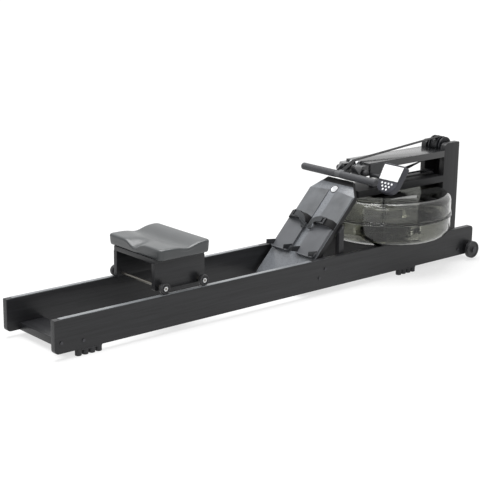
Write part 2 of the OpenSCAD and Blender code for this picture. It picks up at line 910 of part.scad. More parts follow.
// Plate on the deck's side and the tube that carries the monitor
module monitor_arm() {
    side = deck_w / 2;
    color("#2f3133") row() {
        translate([deck_at + arm_inset, -side - arm_plate_t, rest_z0 - arm_below])
            cube([arm_plate_l, arm_plate_t, deck_top - arm_inset - rest_z0 + arm_below]);
        translate([pivot_x, 0, pivot_z])
            bar_y(arm_r, -mon_y - lug_l / 2 - 4, -side - arm_plate_t + cut);
    }
}

// Room on each side of the strap in the pulley's groove
groove_room = 1.5;

module front_pulley() {
    groove = belt_w / 2 + groove_room;
    color("#3d3f42") row() translate([pulley_x, 0, pulley_z]) difference() {
        union() {
            bar_y(16, -pulley_l / 2, pulley_l / 2);
            bar_y(pulley_r - groove_depth, -groove - 3, groove + 3);
            both_sides() {
                bar_y(pulley_r, groove, groove + 3);
                bar_y(pulley_r - 1, pulley_l / 2 - 6, pulley_l / 2);
            }
        }
        bar_y(axle_r + run, -pulley_l / 2 - cut, pulley_l / 2 + cut);
    }
}

module drive_drum() {
    color("#2e3033") at_tank() difference() {
        union() {
            translate([0, 0, drum_z0]) cylinder(r = spool_r, h = drum_z3 - drum_z0);
            translate([0, 0, drum_z1]) cylinder(r = drum_r, h = drum_flange);
            translate([0, 0, drum_z1]) cylinder(r = wound_r, h = drum_z3 - drum_z1);
            translate([0, 0, drum_z2]) cylinder(r = drum_r, h = drum_flange);
            translate([0, 0, drum_z3 - cut]) cylinder(r = shaft_r + 8, h = drum_hub_h + cut);
        }
        translate([0, 0, drum_z0 - cut])
            cylinder(r = shaft_r + run, h = drum_z3 - drum_z0 + drum_hub_h + 2 * cut);
    }
}

module impeller() {
    color("#55585a") at_tank() translate([0, 0, paddle_z]) difference() {
        union() {
            cylinder(r = 20, h = paddle_h);
            for (i = [0:paddle_count - 1]) rotate([0, 0, i * 360 / paddle_count])
                translate([shaft_r + 3, -paddle_t / 2, 0])
                    cube([paddle_r - shaft_r - 3, paddle_t, paddle_h]);
        }
        translate([0, 0, -cut]) cylinder(r = shaft_r + run, h = paddle_h + 2 * cut);
    }
}

module impeller_shaft() {
    top = drum_z3 + drum_hub_h + seat_gap;
    color("#c2c5c7") at_tank() {
        translate([0, 0, paddle_z]) cylinder(r = shaft_r, h = top - paddle_z + 4);
        translate([0, 0, top]) cylinder(r = shaft_r + 4, h = 4);
    }
}

module fill_plug() {
    color("#222426") row() translate([fill_x, fill_y, tank_top]) {
        translate([0, 0, -tank_wall]) cylinder(r = fill_r, h = tank_wall + 1);
        cylinder(r = fill_r + 5, h = 4);
        cylinder(r = fill_r - 4, h = 12);
    }
}

clip_w = 30;

// Bar of the handle with the clip that holds the strap
module handle_core() {
    color("#4a4d50") row() translate([handle_at, 0, handle_z]) {
        bar_y(core_d / 2, -handle_l / 2 + 8, handle_l / 2 - 8);
        bar_y(grip_d / 2 - 1, -clip_w / 2, clip_w / 2);
        rotate([0, -hand_a, 0]) translate([0, -belt_w / 2 - 2, -4])
            cube([clip_l, belt_w + 4, 8]);
    }
}

grip_round = 8;

module handle_grip() {
    color("#54575a") row() translate([handle_at, 0, handle_z]) both_sides()
        translate([0, clip_w / 2 + seat_gap, 0]) rotate([-90, 0, 0]) difference() {
            rotate_extrude() plate_2d(grip_d / 2, handle_l / 2 - clip_w / 2 - seat_gap,
                [0, 0, grip_round, 0]);
            translate([0, 0, -cut])
                cylinder(d = core_d + 2 * run, h = handle_l / 2 - clip_w / 2 - 8 + cut);
        }
}

heel_low = -15;
heel_round = 12;
ear_root = 21;
ear_lean = 7;

// Footprint of a heel plate, rounded at its lower end
module heel_2d() {
    for (side = [-1, 1]) translate([heel_low + heel_round, side * (heel_r - heel_round)])
        circle(heel_round);
    translate([heel_low, heel_round - heel_r]) square([heel_round, 2 * (heel_r - heel_round)]);
    translate([heel_low + heel_round, -heel_r])
        square([heel_top - heel_low - heel_round, 2 * heel_r]);
}

// Heel plate on the far side, with the ears and the lip that hold the heel
module heel_plate() {
    tip = heel_t + cup_h;
    board_frame() translate([0, plate_mid, heel_n]) {
        linear_extrude(heel_t) heel_2d();
        for (side = [-1, 1]) translate([0, side * (heel_r - cup_wall / 2), 0])
            rotate([90, 0, 0]) linear_extrude(cup_wall, center = true)
                polygon([[heel_low + heel_round, 0], [ear_root, 0], [ear_root, heel_t],
                    [heel_low + ear_lean, tip], [heel_low - ear_lean, tip - 12],
                    [heel_low + heel_round, heel_t]]);
        translate([heel_low, heel_round - heel_r, 0])
            cube([cup_wall, 2 * (heel_r - heel_round), heel_t + 7]);
    }
}

module heel_plate_left() {
    color("#7b8084") heel_plate();
}

module heel_plate_right() {
    color("#7b8084") mirror([0, 1, 0]) heel_plate();
}

// Frame of the monitor: X up its face, Z out of it
module monitor_frame() {
    row() translate([mon_at, -mon_y, mon_z]) rotate([0, -mon_a, 0]) children();
}

key_h = 48;
key_round = 38;
mon_top = screen_h + 10;
glass_t = 3;
bezel_w = 4;

// Face of the monitor, wider at its top
module mon_2d() {
    top = mon_top_w / 2;
    low = mon_low_w / 2 - 4;
    polygon([[mon_top, -top + 5], [mon_top - 5, -top], [key_round - key_h, -low],
        [-key_h, key_round - low], [-key_h, low - key_round], [key_round - key_h, low],
        [mon_top - 5, top], [mon_top, top - 5]]);
    for (side = [-1, 1])
        translate([key_round - key_h, side * (low - key_round)]) circle(key_round);
}

// Window of the screen, grown by a margin
module screen_2d(grow) {
    top = mon_top_w / 2 - 6 + grow;
    low = mon_low_w / 2 - 6 + grow;
    polygon([[3 - grow, -low], [3 + screen_h + grow, -top], [3 + screen_h + grow, top],
        [3 - grow, low]]);
}

// Buttons in rows of four, three and two: slope distance and Y
BUTTONS = [for (r = [0:2]) for (i = [0:3 - r])
    [-11 - r * 12.5, (i - (3 - r) / 2) * 17]];

module monitor_case() {
    color("#33353c") monitor_frame() difference() {
        union() {
            translate([0, 0, -mon_d]) linear_extrude(mon_d) mon_2d();
            translate([pivot_s, 0, pivot_n]) bar_y(lug_r, -lug_l / 2, lug_l / 2);
            translate([pivot_s - lug_r, -lug_l / 2, pivot_n])
                cube([2 * lug_r, lug_l, -pivot_n - mon_d + cut]);
        }
        translate([0, 0, -glass_t]) linear_extrude(glass_t + cut) screen_2d(0);
        for (spot = BUTTONS) translate([spot[0], spot[1], -6])
            cylinder(r = button_d / 2 + screw_gap, h = 6 + cut, $fn = 32);
        translate([pivot_s, 0, pivot_n]) bar_y(arm_r + run, -lug_l / 2 - cut, lug_l / 2 + cut);
    }
}

module monitor_bezel() {
    color("#26282c") monitor_frame() linear_extrude(1.5) difference() {
        screen_2d(3);
        screen_2d(0);
    }
}

module monitor_lens() {
    color("#eef1f2") monitor_frame() translate([0, 0, -glass_t]) linear_extrude(glass_t)
        screen_2d(-0.1);
}

module roller() {
    color("#1e1f21") row() translate([roller_x, roller_out, roller_z]) rotate([90, 0, 0])
        rotate_extrude() difference() {
            plate_2d(roller_r, roller_w, [0, 3, 3, 0]);
            translate([0, -cut]) square([roller_bolt_r + run, roller_w + 2 * cut]);
            translate([roller_bolt_r + 8, -cut]) square([roller_r - roller_bolt_r - 15, 3 + cut]);
        }
}

module transport_wheel_left() {
    roller();
}

module transport_wheel_right() {
    mirror([0, 1, 0]) roller();
}

wheel_z = rail_top + track_t + wheel_r + seat_gap;
seat_axle_r = 5;
side_z = wheel_z - 11;
base_z = side_z + side_h;
pad_z = base_z + base_t;
wheel_in = track_mid - wheel_shift - wheel_w / 2;
wheel_out = wheel_in + wheel_w;

module at_seat() {
    row() translate([seat_x, 0, 0]) children();
}

pad_round = 20;
pad_corner_n = 6;
pad_side_n = 10;

function corner_points(x, y, r, a) = [for (i = [0:pad_corner_n])
    [x + r * cos(a + 90 * i / pad_corner_n), y + r * sin(a + 90 * i / pad_corner_n)]];
function between(p, q) = [for (i = [1:pad_side_n - 1]) p + (q - p) * i / pad_side_n];

// Outline of the pad drawn in by a margin, from its front middle round to the left
function pad_outline(inset) = let (
    r = max(pad_round - inset, 6),
    x = pad_l / 2 - inset - r,
    y = pad_w / 2 - inset - r,
    c = [corner_points(x, y, r, 0), corner_points(-x, y, r, 90),
        corner_points(-x, -y, r, 180), corner_points(x, -y, r, 270)])
    [for (k = [0:3]) each concat(c[k], between(c[k][pad_corner_n], c[(k + 1) % 4][0]))];

function ease(t) = let (u = min(max(t, 0), 1)) u * u * (3 - 2 * u);
function bump(t, wide) = exp(-(t * t) / (wide * wide));

// Height of the pad's top over its underside
function pad_height(x, y) = let (u = 2 * x / pad_l, v = 2 * y / pad_w)
    pad_rear + (pad_front - pad_rear) * ease((u + 0.1) / 0.9)
    - 9 * bump(u - 0.1, 0.32) - pad_notch * bump(y, 30) * bump(u + 1.05, 0.55)
    - 3 * (1 - v * v) * bump(u + 0.1, 0.7);

// Steps up the pad's side: margin, share of the height, drop from it
PAD_STEPS = [[7, 0, 0], [3, 0.2, 0], [1, 0.55, 0], [0, 1, 9], [1, 1, 5], [4, 1, 1.8],
    [9, 1, 0.4], [16, 1, 0]];

module seat_pad() {
    inner = pad_outline(16);
    rings = concat(
        [for (step = PAD_STEPS) [for (p = pad_outline(step[0]))
            [p[0], p[1], step[1] * pad_height(p[0], p[1]) - step[2]]]],
        [for (k = [0.86, 0.72, 0.58, 0.44, 0.3, 0.18]) [for (p = inner)
            [k * p[0], k * p[1], pad_height(k * p[0], k * p[1])]]]);
    color("#5f6466") at_seat() translate([0, 0, pad_z]) skin(rings);
}

module seat_base() {
    color("#2c2e30") at_seat() translate([-side_l / 2, 0, base_z])
        slab(-side_w / 2, side_w / 2) plate_2d(side_l, base_t, [0, 0, 3, 3]);
}

well_gap = 1;
side_round = 4;

// Sides with their axle bores, and wells wherever they would reach the wheels
module carriage_sides() {
    color("#3c3e41") at_seat() both_sides() difference() {
        translate([-side_l / 2, 0, side_z]) slab(side_w / 2 - side_t, side_w / 2)
            plate_2d(side_l, side_h, [side_round, side_round, 0, 0]);
        for (end = [-1, 1]) translate([end * wheel_base / 2, 0, wheel_z]) {
            bar_y(seat_axle_r + run, side_w / 2 - side_t - cut, side_w / 2 + cut, 32);
            bar_y(wheel_r + well_gap, wheel_in - well_gap, wheel_out + well_gap);
        }
    }
}

nut_t = 5;
nut_r = 9;
// Middle plane's distance of the floor of the recess that holds a nut
nut_floor = wheel_out - nut_t - seat_gap;

module carriage_axles() {
    color("#b4b7b9") at_seat() for (end = [-1, 1])
        translate([end * wheel_base / 2, 0, wheel_z]) {
            bar_y(seat_axle_r, -wheel_out - 1, wheel_out + 1, 32);
            both_sides() bar_y(seat_axle_r + 4, min(side_w / 2, wheel_in - well_gap),
                wheel_in - seat_gap, 32);
        }
}

module axle_nuts() {
    color("#c5c8c9") at_seat() for (end = [-1, 1])
        translate([end * wheel_base / 2, 0, wheel_z]) both_sides() difference() {
            bar_y(nut_r, nut_floor + seat_gap, wheel_out, 6);
            bar_y(seat_axle_r + run, nut_floor, wheel_out + cut, 32);
        }
}

module seat_wheel(end) {
    at_seat() both_sides() translate([end * wheel_base / 2, wheel_out, wheel_z])
        rotate([90, 0, 0]) rotate_extrude() difference() {
            plate_2d(wheel_r, wheel_w, [0, 3, 3, 0]);
            translate([0, -cut]) square([seat_axle_r + run, wheel_w + 2 * cut]);
            translate([0, -cut]) square([nut_r + 2, wheel_out - nut_floor + cut]);
        }
}

module seat_wheels_rear() {
    color("#1c1d1f") seat_wheel(-1);
}

module seat_wheels_front() {
    color("#1c1d1f") seat_wheel(1);
}

module button(i) {
    color("#f1f2f2") monitor_frame() translate([BUTTONS[i][0], BUTTONS[i][1], -3.5])
        cylinder(r = button_d / 2, h = 5.5, $fn = 32);
}

module button_1() { button(0); }
module button_2() { button(1); }
module button_3() { button(2); }
module button_4() { button(3); }
module button_5() { button(4); }
module button_6() { button(5); }
module button_7() { button(6); }
module button_8() { button(7); }
module button_9() { button(8); }

rail_right();
rail_left();
seat_tracks();
rear_spreader();
front_spreader();
tank_supports();
footboard();
foot_supports();
post_right();
post_left();
top_deck();
lower_shelf();
handle_rests();
rest_knobs();
frame_bolts();
rubber_feet();
foot_plates();
foot_straps();
strap_buckles();
tank_lower();
tank_upper();
tank_gasket();
water();
shaft_bearing();
drive_strap();
handle_strap();
recoil_cord();
recoil_pulley();
pulley_axle();
monitor_arm();
front_pulley();
drive_drum();
impeller();
impeller_shaft();
fill_plug();
handle_core();
handle_grip();
heel_plate_right();
heel_plate_left();
monitor_case();
monitor_bezel();
monitor_lens();
transport_wheel_right();
transport_wheel_left();
seat_pad();
seat_base();
carriage_sides();
carriage_axles();
axle_nuts();
seat_wheels_rear();
seat_wheels_front();
button_1();
button_2();
button_3();
button_4();
button_5();
button_6();
button_7();
button_8();
button_9();
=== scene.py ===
"""Looks of a water rowing machine. Sizes are in millimetres, measured from the rails' rear
end along X, and turn into metres in the row frame when a piece is made."""
import math

import bmesh
import bpy
import numpy as np
from mathutils import Matrix, Vector


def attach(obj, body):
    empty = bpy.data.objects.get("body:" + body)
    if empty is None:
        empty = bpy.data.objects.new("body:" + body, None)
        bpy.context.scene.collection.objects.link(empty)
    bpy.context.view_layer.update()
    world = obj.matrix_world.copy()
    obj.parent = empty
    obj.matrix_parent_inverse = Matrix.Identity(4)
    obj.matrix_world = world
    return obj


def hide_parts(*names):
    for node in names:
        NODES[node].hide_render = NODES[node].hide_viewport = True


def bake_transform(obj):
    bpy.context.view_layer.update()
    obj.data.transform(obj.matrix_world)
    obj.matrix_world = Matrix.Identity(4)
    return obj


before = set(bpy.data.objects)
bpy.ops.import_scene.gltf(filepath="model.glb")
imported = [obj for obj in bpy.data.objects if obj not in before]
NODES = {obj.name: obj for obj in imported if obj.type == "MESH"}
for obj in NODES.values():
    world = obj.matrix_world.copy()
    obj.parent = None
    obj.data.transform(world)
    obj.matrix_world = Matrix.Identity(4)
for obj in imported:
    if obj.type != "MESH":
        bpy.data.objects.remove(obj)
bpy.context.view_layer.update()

RAIL_LEN = 2090.0
HALF_LEN = 2102.0 / 2


def metres(p):
    return Vector(((p[0] - HALF_LEN) / 1000, p[1] / 1000, p[2] / 1000))


# ---------------------------------------------------------------- camera
CAM_AZ, CAM_EL, CAM_ROLL = math.radians(40.70), math.radians(14.822), math.radians(0.773)
CAM_AT = (-2220.4, -3661.7, 1508.7)
FOCAL_PX = 1329.6
FRAME_PX = 480

cam_data = bpy.data.cameras.new("camera")
cam = bpy.data.objects.new("camera", cam_data)
bpy.context.scene.collection.objects.link(cam)
bpy.context.scene.camera = cam
cam_data.sensor_width = 36
cam_data.lens = FOCAL_PX / FRAME_PX * 36
cam_data.clip_end = 200
right = Vector((math.cos(CAM_AZ), -math.sin(CAM_AZ), 0))
ahead = Vector((math.cos(CAM_EL) * math.sin(CAM_AZ), math.cos(CAM_EL) * math.cos(CAM_AZ),
                -math.sin(CAM_EL)))
up = right.cross(ahead)
roll_right = right * math.cos(CAM_ROLL) + up * math.sin(CAM_ROLL)
roll_up = up * math.cos(CAM_ROLL) - right * math.sin(CAM_ROLL)
turn = Matrix((roll_right, roll_up, -ahead)).transposed()
cam.matrix_world = Matrix.Translation(metres(CAM_AT)) @ turn.to_4x4()


# ---------------------------------------------------------------- materials
def add(tree, kind, **inputs):
    made = tree.nodes.new("ShaderNode" + kind)
    for key, value in inputs.items():
        if key in made.inputs:
            made.inputs[key].default_value = value
        else:
            setattr(made, key, value)
    return made


def join(tree, source, target):
    tree.links.new(source, target)


def coords(tree, scale=(1, 1, 1)):
    """Object coordinates in metres, stretched."""
    place = add(tree, "TexCoord")
    mapping = add(tree, "Mapping")
    mapping.inputs["Scale"].default_value = scale
    join(tree, place.outputs["Object"], mapping.inputs["Vector"])
    return mapping.outputs["Vector"]


def ramp(tree, source, stops):
    made = add(tree, "ValToRGB")
    elements = made.color_ramp.elements
    while len(elements) < len(stops):
        elements.new(0.5)
    for element, (at, colour) in zip(elements, stops):
        element.position = at
        element.color = (*colour, 1)
    join(tree, source, made.inputs["Fac"])
    return made.outputs["Color"]


def bump(tree, source, strength, distance, after=None):
    made = add(tree, "Bump")
    made.inputs["Strength"].default_value = strength
    made.inputs["Distance"].default_value = distance
    join(tree, source, made.inputs["Height"])
    if after is not None:
        join(tree, after, made.inputs["Normal"])
    return made.outputs["Normal"]


def span(tree, source, low, high):
    """A factor from 0 to 1 turned into a value from low to high."""
    made = add(tree, "MapRange")
    made.inputs["To Min"].default_value = low
    made.inputs["To Max"].default_value = high
    join(tree, source, made.inputs["Value"])
    return made.outputs["Result"]


def shader(name, roughness=0.5, metallic=0.0, ior=1.5, **more):
    made = bpy.data.materials.new(name)
    made.use_nodes = True
    tree = made.node_tree
    bsdf = tree.nodes["Principled BSDF"]
    bsdf.inputs["Roughness"].default_value = roughness
    bsdf.inputs["Metallic"].default_value = metallic
    bsdf.inputs["IOR"].default_value = ior
    for key, value in more.items():
        bsdf.inputs[key.replace("_", " ")].default_value = value
    return made, tree, bsdf


def shades(colour, spread):
    return [tuple(c * k for c in colour) for k in (1 - spread, 1, 1 + spread)]


def wood(name, colour, axis, roughness=0.36, grain=0.34, coat=0.06):
    """Stained open-pored wood under lacquer; axis is the direction of its grain."""
    made, tree, bsdf = shader(name, roughness, Coat_Weight=coat, Coat_Roughness=0.16,
                              Specular_IOR_Level=0.32)
    along, across = 2.6, 70.0
    scale = tuple(along if k == axis else across for k in range(3))
    fibre = add(tree, "TexNoise", Scale=1.0, Detail=6.0, Roughness=0.62, Distortion=0.35)
    join(tree, coords(tree, scale), fibre.inputs["Vector"])
    pores = add(tree, "TexNoise", Scale=3.4, Detail=3.0, Roughness=0.5)
    join(tree, coords(tree, scale), pores.inputs["Vector"])
    cloud = add(tree, "TexNoise", Scale=3.0, Detail=2.0)
    join(tree, coords(tree), cloud.inputs["Vector"])
    dark, mid, light = shades(colour, grain)
    tint = ramp(tree, fibre.outputs["Fac"], [(0.3, dark), (0.52, mid), (0.75, light)])
    pore = ramp(tree, pores.outputs["Fac"], [(0.36, (0.55, 0.55, 0.55)), (0.5, (1, 1, 1))])
    mix = add(tree, "MixRGB", blend_type="MULTIPLY")
    mix.inputs["Fac"].default_value = 0.55
    join(tree, tint, mix.inputs["Color1"])
    join(tree, pore, mix.inputs["Color2"])
    join(tree, mix.outputs["Color"], bsdf.inputs["Base Color"])
    join(tree, span(tree, cloud.outputs["Fac"], roughness - 0.06, roughness + 0.08),
         bsdf.inputs["Roughness"])
    low = bump(tree, pores.outputs["Fac"], 0.22, 0.0004)
    join(tree, bump(tree, fibre.outputs["Fac"], 0.16, 0.0006, low), bsdf.inputs["Normal"])
    return made


def plastic(name, colour, roughness=0.45, grain=0.0003, size=900.0, spread=0.12, **more):
    """Moulded plastic, rubber or foam: fine grain and slight clouding."""
    made, tree, bsdf = shader(name, roughness, **more)
    fine = add(tree, "TexNoise", Scale=size, Detail=3.0, Roughness=0.6)
    join(tree, coords(tree), fine.inputs["Vector"])
    cloud = add(tree, "TexNoise", Scale=14.0, Detail=4.0)
    join(tree, coords(tree), cloud.inputs["Vector"])
    dark, mid, light = shades(colour, spread)
    join(tree, ramp(tree, cloud.outputs["Fac"], [(0.3, dark), (0.5, mid), (0.7, light)]),
         bsdf.inputs["Base Color"])
    join(tree, span(tree, fine.outputs["Fac"], roughness - 0.05, roughness + 0.07),
         bsdf.inputs["Roughness"])
    join(tree, bump(tree, fine.outputs["Fac"], 0.35, grain), bsdf.inputs["Normal"])
    return made


def metal(name, colour, roughness=0.3, scale=(60, 60, 60), spread=0.1):
    made, tree, bsdf = shader(name, roughness, metallic=1.0)
    lines = add(tree, "TexNoise", Scale=8.0, Detail=4.0, Roughness=0.6)
    join(tree, coords(tree, scale), lines.inputs["Vector"])
    dark, mid, light = shades(colour, spread)
    join(tree, ramp(tree, lines.outputs["Fac"], [(0.3, dark), (0.5, mid), (0.7, light)]),
         bsdf.inputs["Base Color"])
    join(tree, span(tree, lines.outputs["Fac"], roughness - 0.07, roughness + 0.1),
         bsdf.inputs["Roughness"])
    join(tree, bump(tree, lines.outputs["Fac"], 0.15, 0.0002), bsdf.inputs["Normal"])
    return made


def webbing(name, colour, pitch=0.0016):
    """Woven tape: two crossing sets of ribs, seen in bump and colour."""
    made, tree, bsdf = shader(name, 0.62, Sheen_Weight=0.06, Sheen_Roughness=0.5,
                              Specular_IOR_Level=0.16)
    at = coords(tree)
    ribs = []
    for direction in ("X", "Y"):
        rib = add(tree, "TexWave", wave_type="BANDS", bands_direction=direction)
        rib.inputs["Scale"].default_value = 1 / pitch / 6.2832
        rib.inputs["Distortion"].default_value = 0.6
        rib.inputs["Detail Scale"].default_value = 3.0
        join(tree, at, rib.inputs["Vector"])
        ribs.append(rib.outputs["Fac"])
    cross = add(tree, "Math", operation="MULTIPLY")
    join(tree, ribs[0], cross.inputs[0])
    join(tree, ribs[1], cross.inputs[1])
    dark, mid, light = shades(colour, 0.45)
    join(tree, ramp(tree, cross.outputs[0], [(0.1, dark), (0.4, mid), (0.9, light)]),
         bsdf.inputs["Base Color"])
    join(tree, bump(tree, cross.outputs[0], 0.5, 0.0005), bsdf.inputs["Normal"])
    return made


def clear(name, colour, roughness, ior, depth):
    made, tree, bsdf = shader(name, roughness, ior=ior, Transmission_Weight=1.0)
    haze = add(tree, "TexNoise", Scale=9.0, Detail=3.0)
    join(tree, coords(tree), haze.inputs["Vector"])
    dark, mid, light = shades(colour, depth)
    join(tree, ramp(tree, haze.outputs["Fac"], [(0.35, dark), (0.5, mid),
                                                 (0.65, tuple(min(1, c) for c in light))]),
         bsdf.inputs["Base Color"])
    return made


BLACK = (0.0165, 0.0168, 0.0185)
MAT = {
    "wood_x": wood("wood_along", BLACK, 0),
    "wood_y": wood("wood_across", BLACK, 1),
    "wood_z": wood("wood_upright", BLACK, 2),
    "deck": wood("deck_wood", (0.014, 0.0145, 0.016), 0, roughness=0.27, coat=0.6),
    # shelf wood, darker and matt: black wood plus painted shade from the top deck over it
    "shelf": wood("shelf_wood_and_shade", (0.013, 0.0135, 0.0145), 0, roughness=0.55, coat=0.0),
    # black of the footboard, darker than the other wood; its top band above the light face is
    # also painted shade from the handle
    "board_dark_and_shade": wood("board_dark_and_shade", (0.010, 0.010, 0.011), 1, roughness=0.5),
    "board": wood("board_face", (0.17, 0.18, 0.195), 0, roughness=0.26, grain=0.1, coat=0.4),
    # track strips, their light grey tone a painted sheen along the rail tops
    "track": plastic("track_strip_sheen", (0.18, 0.19, 0.20), 0.28),
    "zinc": metal("zinc_steel", (0.62, 0.63, 0.64), 0.28),
    "screw": metal("black_screw", (0.06, 0.06, 0.065), 0.35),
    "rubber": plastic("black_rubber", (0.016, 0.016, 0.018), 0.62, 0.0004),
    "plate": plastic("plate_plastic", (0.088, 0.093, 0.100), 0.48, 0.0012, 260, 0.3),
    "heel": plastic("heel_plastic", (0.092, 0.096, 0.104), 0.36, 0.0002),
    # heel plastic darkened for the ears: painted shade for their shadowed inner faces
    "heel_painted_shade": plastic("heel_ear_painted_shade", (0.022, 0.023, 0.026), 0.45),
    "webbing": webbing("webbing", (0.010, 0.010, 0.011)),
    "tail": webbing("webbing_tail", (0.055, 0.058, 0.062)),
    "buckle": plastic("buckle_plastic", (0.022, 0.023, 0.026), 0.35, 0.0002),
    "tank": clear("tank_clear", (0.44, 0.445, 0.43), 0.02, 1.42, 0.03),
    "gasket": plastic("gasket_rubber", (0.03, 0.03, 0.03), 0.5),
    "water": clear("tank_water", (0.60, 0.60, 0.53), 0.0, 1.33, 0.03),
    "moulded": plastic("moulded_black", (0.014, 0.0145, 0.017), 0.36, 0.0003,
                       Specular_IOR_Level=0.35),
    "cord": plastic("cord_sleeve", (0.012, 0.012, 0.013), 0.8, 0.0006, 500),
    "axle": metal("axle_steel", (0.66, 0.67, 0.68), 0.25, (20, 400, 20)),
    "arm": plastic("arm_metal", (0.02, 0.021, 0.023), 0.4, 0.0002),
    "paddle": plastic("paddle_plastic", (0.05, 0.052, 0.055), 0.45),
    "core": plastic("handle_bar", (0.065, 0.067, 0.071), 0.5, 0.0006, 420),
    "foam": plastic("handle_foam", (0.036, 0.037, 0.041), 0.58, 0.0007, 600, 0.08),
    "case": plastic("case_plastic", (0.024, 0.025, 0.034), 0.42, 0.0006, 520),
    "bezel": plastic("bezel_plastic", (0.02, 0.021, 0.025), 0.22, 0.0001),
    "button": plastic("button_white", (0.82, 0.83, 0.85), 0.3, 0.0001, spread=0.03),
    "seat": plastic("seat_skin", (0.027, 0.031, 0.033), 0.33, 0.0005, 700, 0.08,
                    Coat_Weight=0.35, Coat_Roughness=0.28),
    "tread": plastic("wheel_rubber", (0.018, 0.018, 0.020), 0.5, 0.0004),
    "axle_dark": metal("axle_shade", (0.22, 0.21, 0.19), 0.35, (20, 400, 20)),
    "badge": metal("badge_plate", (0.74, 0.75, 0.77), 0.22),
}


def screen_material():
    made, tree, bsdf = shader("screen_window", 0.12, Coat_Weight=0.5, Coat_Roughness=0.05)
    soft = add(tree, "TexNoise", Scale=30.0, Detail=1.0)
    join(tree, coords(tree), soft.inputs["Vector"])
    join(tree, ramp(tree, soft.outputs["Fac"], [(0.3, (0.86, 0.88, 0.88)),
                                                 (0.7, (0.93, 0.94, 0.94))]),
         bsdf.inputs["Base Color"])
    return made


MAT["screen"] = screen_material()

CAD_LOOK = {
    "rail_right": "wood_x", "rail_left": "wood_x", "seat_tracks": "track",
    "rear_spreader": "wood_y", "front_spreader": "wood_y", "tank_supports": "wood_y",
    "footboard": "board", "foot_supports": "wood_z", "post_right": "wood_z",
    "post_left": "wood_z", "top_deck": "deck", "lower_shelf": "wood_x", "handle_rests": "wood_x",
    "rest_knobs": "rubber", "frame_bolts": "screw", "rubber_feet": "rubber",
    "foot_plates": "plate", "foot_straps": "webbing", "strap_buckles": "buckle",
    "tank_lower": "tank", "tank_upper": "tank", "tank_gasket": "gasket", "water": "water",
    "shaft_bearing": "moulded", "drive_strap": "webbing", "handle_strap": "webbing",
    "recoil_cord": "cord", "recoil_pulley": "moulded", "pulley_axle": "screw",
    "monitor_arm": "arm", "front_pulley": "moulded", "drive_drum": "moulded",
    "impeller": "paddle", "impeller_shaft": "axle", "fill_plug": "rubber",
    "handle_core": "core", "handle_grip": "foam", "heel_plate_right": "heel",
    "heel_plate_left": "heel", "monitor_case": "case", "monitor_bezel": "bezel",
    "monitor_lens": "screen", "transport_wheel_right": "tread",
    "transport_wheel_left": "tread", "seat_pad": "seat", "seat_base": "wood_x",
    "carriage_sides": "wood_x", "carriage_axles": "axle_dark", "axle_nuts": "zinc",
    "seat_wheels_rear": "tread", "seat_wheels_front": "tread",
}
for name, piece in NODES.items():
    look = MAT["button"] if name.startswith("button_") else MAT[CAD_LOOK[name]]
    piece.data.materials.clear()
    piece.data.materials.append(look)


# ---------------------------------------------------------------- making pieces
def finish_piece(obj, look, body, stands_for=()):
    obj.data.materials.append(MAT[look])
    if body is not None:
        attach(obj, body)
    if stands_for:
        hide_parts(*stands_for)
    return obj


def mesh_piece(name, points, faces, look, body, stands_for=(), smooth=None, extra=()):
    """One closed piece from points in millimetres. extra lists further modifiers."""
    bm = bmesh.new()
    verts = [bm.verts.new(metres(p)) for p in points]
    for face in faces:
        bm.faces.new([verts[k] for k in face])
    bmesh.ops.remove_doubles(bm, verts=bm.verts, dist=1e-6)
    bmesh.ops.recalc_face_normals(bm, faces=bm.faces)
    data = bpy.data.meshes.new(name)
    bm.to_mesh(data)
    bm.free()
    obj = bpy.data.objects.new(name, data)
    bpy.context.scene.collection.objects.link(obj)
    for kind, settings in extra:
        made = obj.modifiers.new(kind.lower(), kind)
        for key, value in settings.items():
            setattr(made, key, value)
    if smooth is not None:
        shade(obj, smooth)
    return finish_piece(obj, look, body, stands_for)


def shade(obj, degrees):
    """Smooth shading that keeps edges sharper than the angle."""
    bm = bmesh.new()
    bm.from_mesh(obj.data)
    limit = math.radians(degrees)
    for face in bm.faces:
        face.smooth = True
    for edge in bm.edges:
        edge.smooth = len(edge.link_faces) == 2 and edge.calc_face_angle(0) < limit
    bm.to_mesh(obj.data)
    bm.free()


def arc(cx, cy, r, a0, a1, steps):
    return [(cx + r * math.cos(math.radians(a0 + (a1 - a0) * k / steps)),
             cy + r * math.sin(math.radians(a0 + (a1 - a0) * k / steps)))
            for k in range(steps + 1)]


def rounded(x0, y0, x1, y1, radii, steps=6):
    """Rectangle with its four corner radii: low start, low end, high end, high start."""
    a, b, c, d = [max(r, 0.01) for r in radii]
    return (arc(x0 + a, y0 + a, a, 180, 270, steps) + arc(x1 - b, y0 + b, b, 270, 360, steps)
            + arc(x1 - c, y1 - c, c, 0, 90, steps) + arc(x0 + d, y1 - d, d, 90, 180, steps))


def prism(name, outline, low, high, place, look, body, stands_for=(), edge=1.2, steps=2):
    """A flat outline drawn out from low to high, with its edges rounded over."""
    n = len(outline)
    points = [place(p[0], p[1], low) for p in outline]
    points += [place(p[0], p[1], high) for p in outline]
    faces = [tuple(range(n)), tuple(range(2 * n - 1, n - 1, -1))]
    faces += [(k, (k + 1) % n, n + (k + 1) % n, n + k) for k in range(n)]
    obj = mesh_piece(name, points, faces, look, body, stands_for)
    round_edges(obj, edge, steps)
    return obj


def round_edges(obj, edge, steps, degrees=35):
    """Rounds every edge sharper than the angle by edge millimetres."""
    bm = bmesh.new()
    bm.from_mesh(obj.data)
    sharp = [e for e in bm.edges
             if len(e.link_faces) == 2 and e.calc_face_angle(0) > math.radians(degrees)]
    if edge and sharp:
        bmesh.ops.bevel(bm, geom=sharp, offset=edge / 1000, segments=steps, profile=0.6,
                        affect="EDGES", clamp_overlap=True)
    bm.to_mesh(obj.data)
    bm.free()
    shade(obj, degrees)


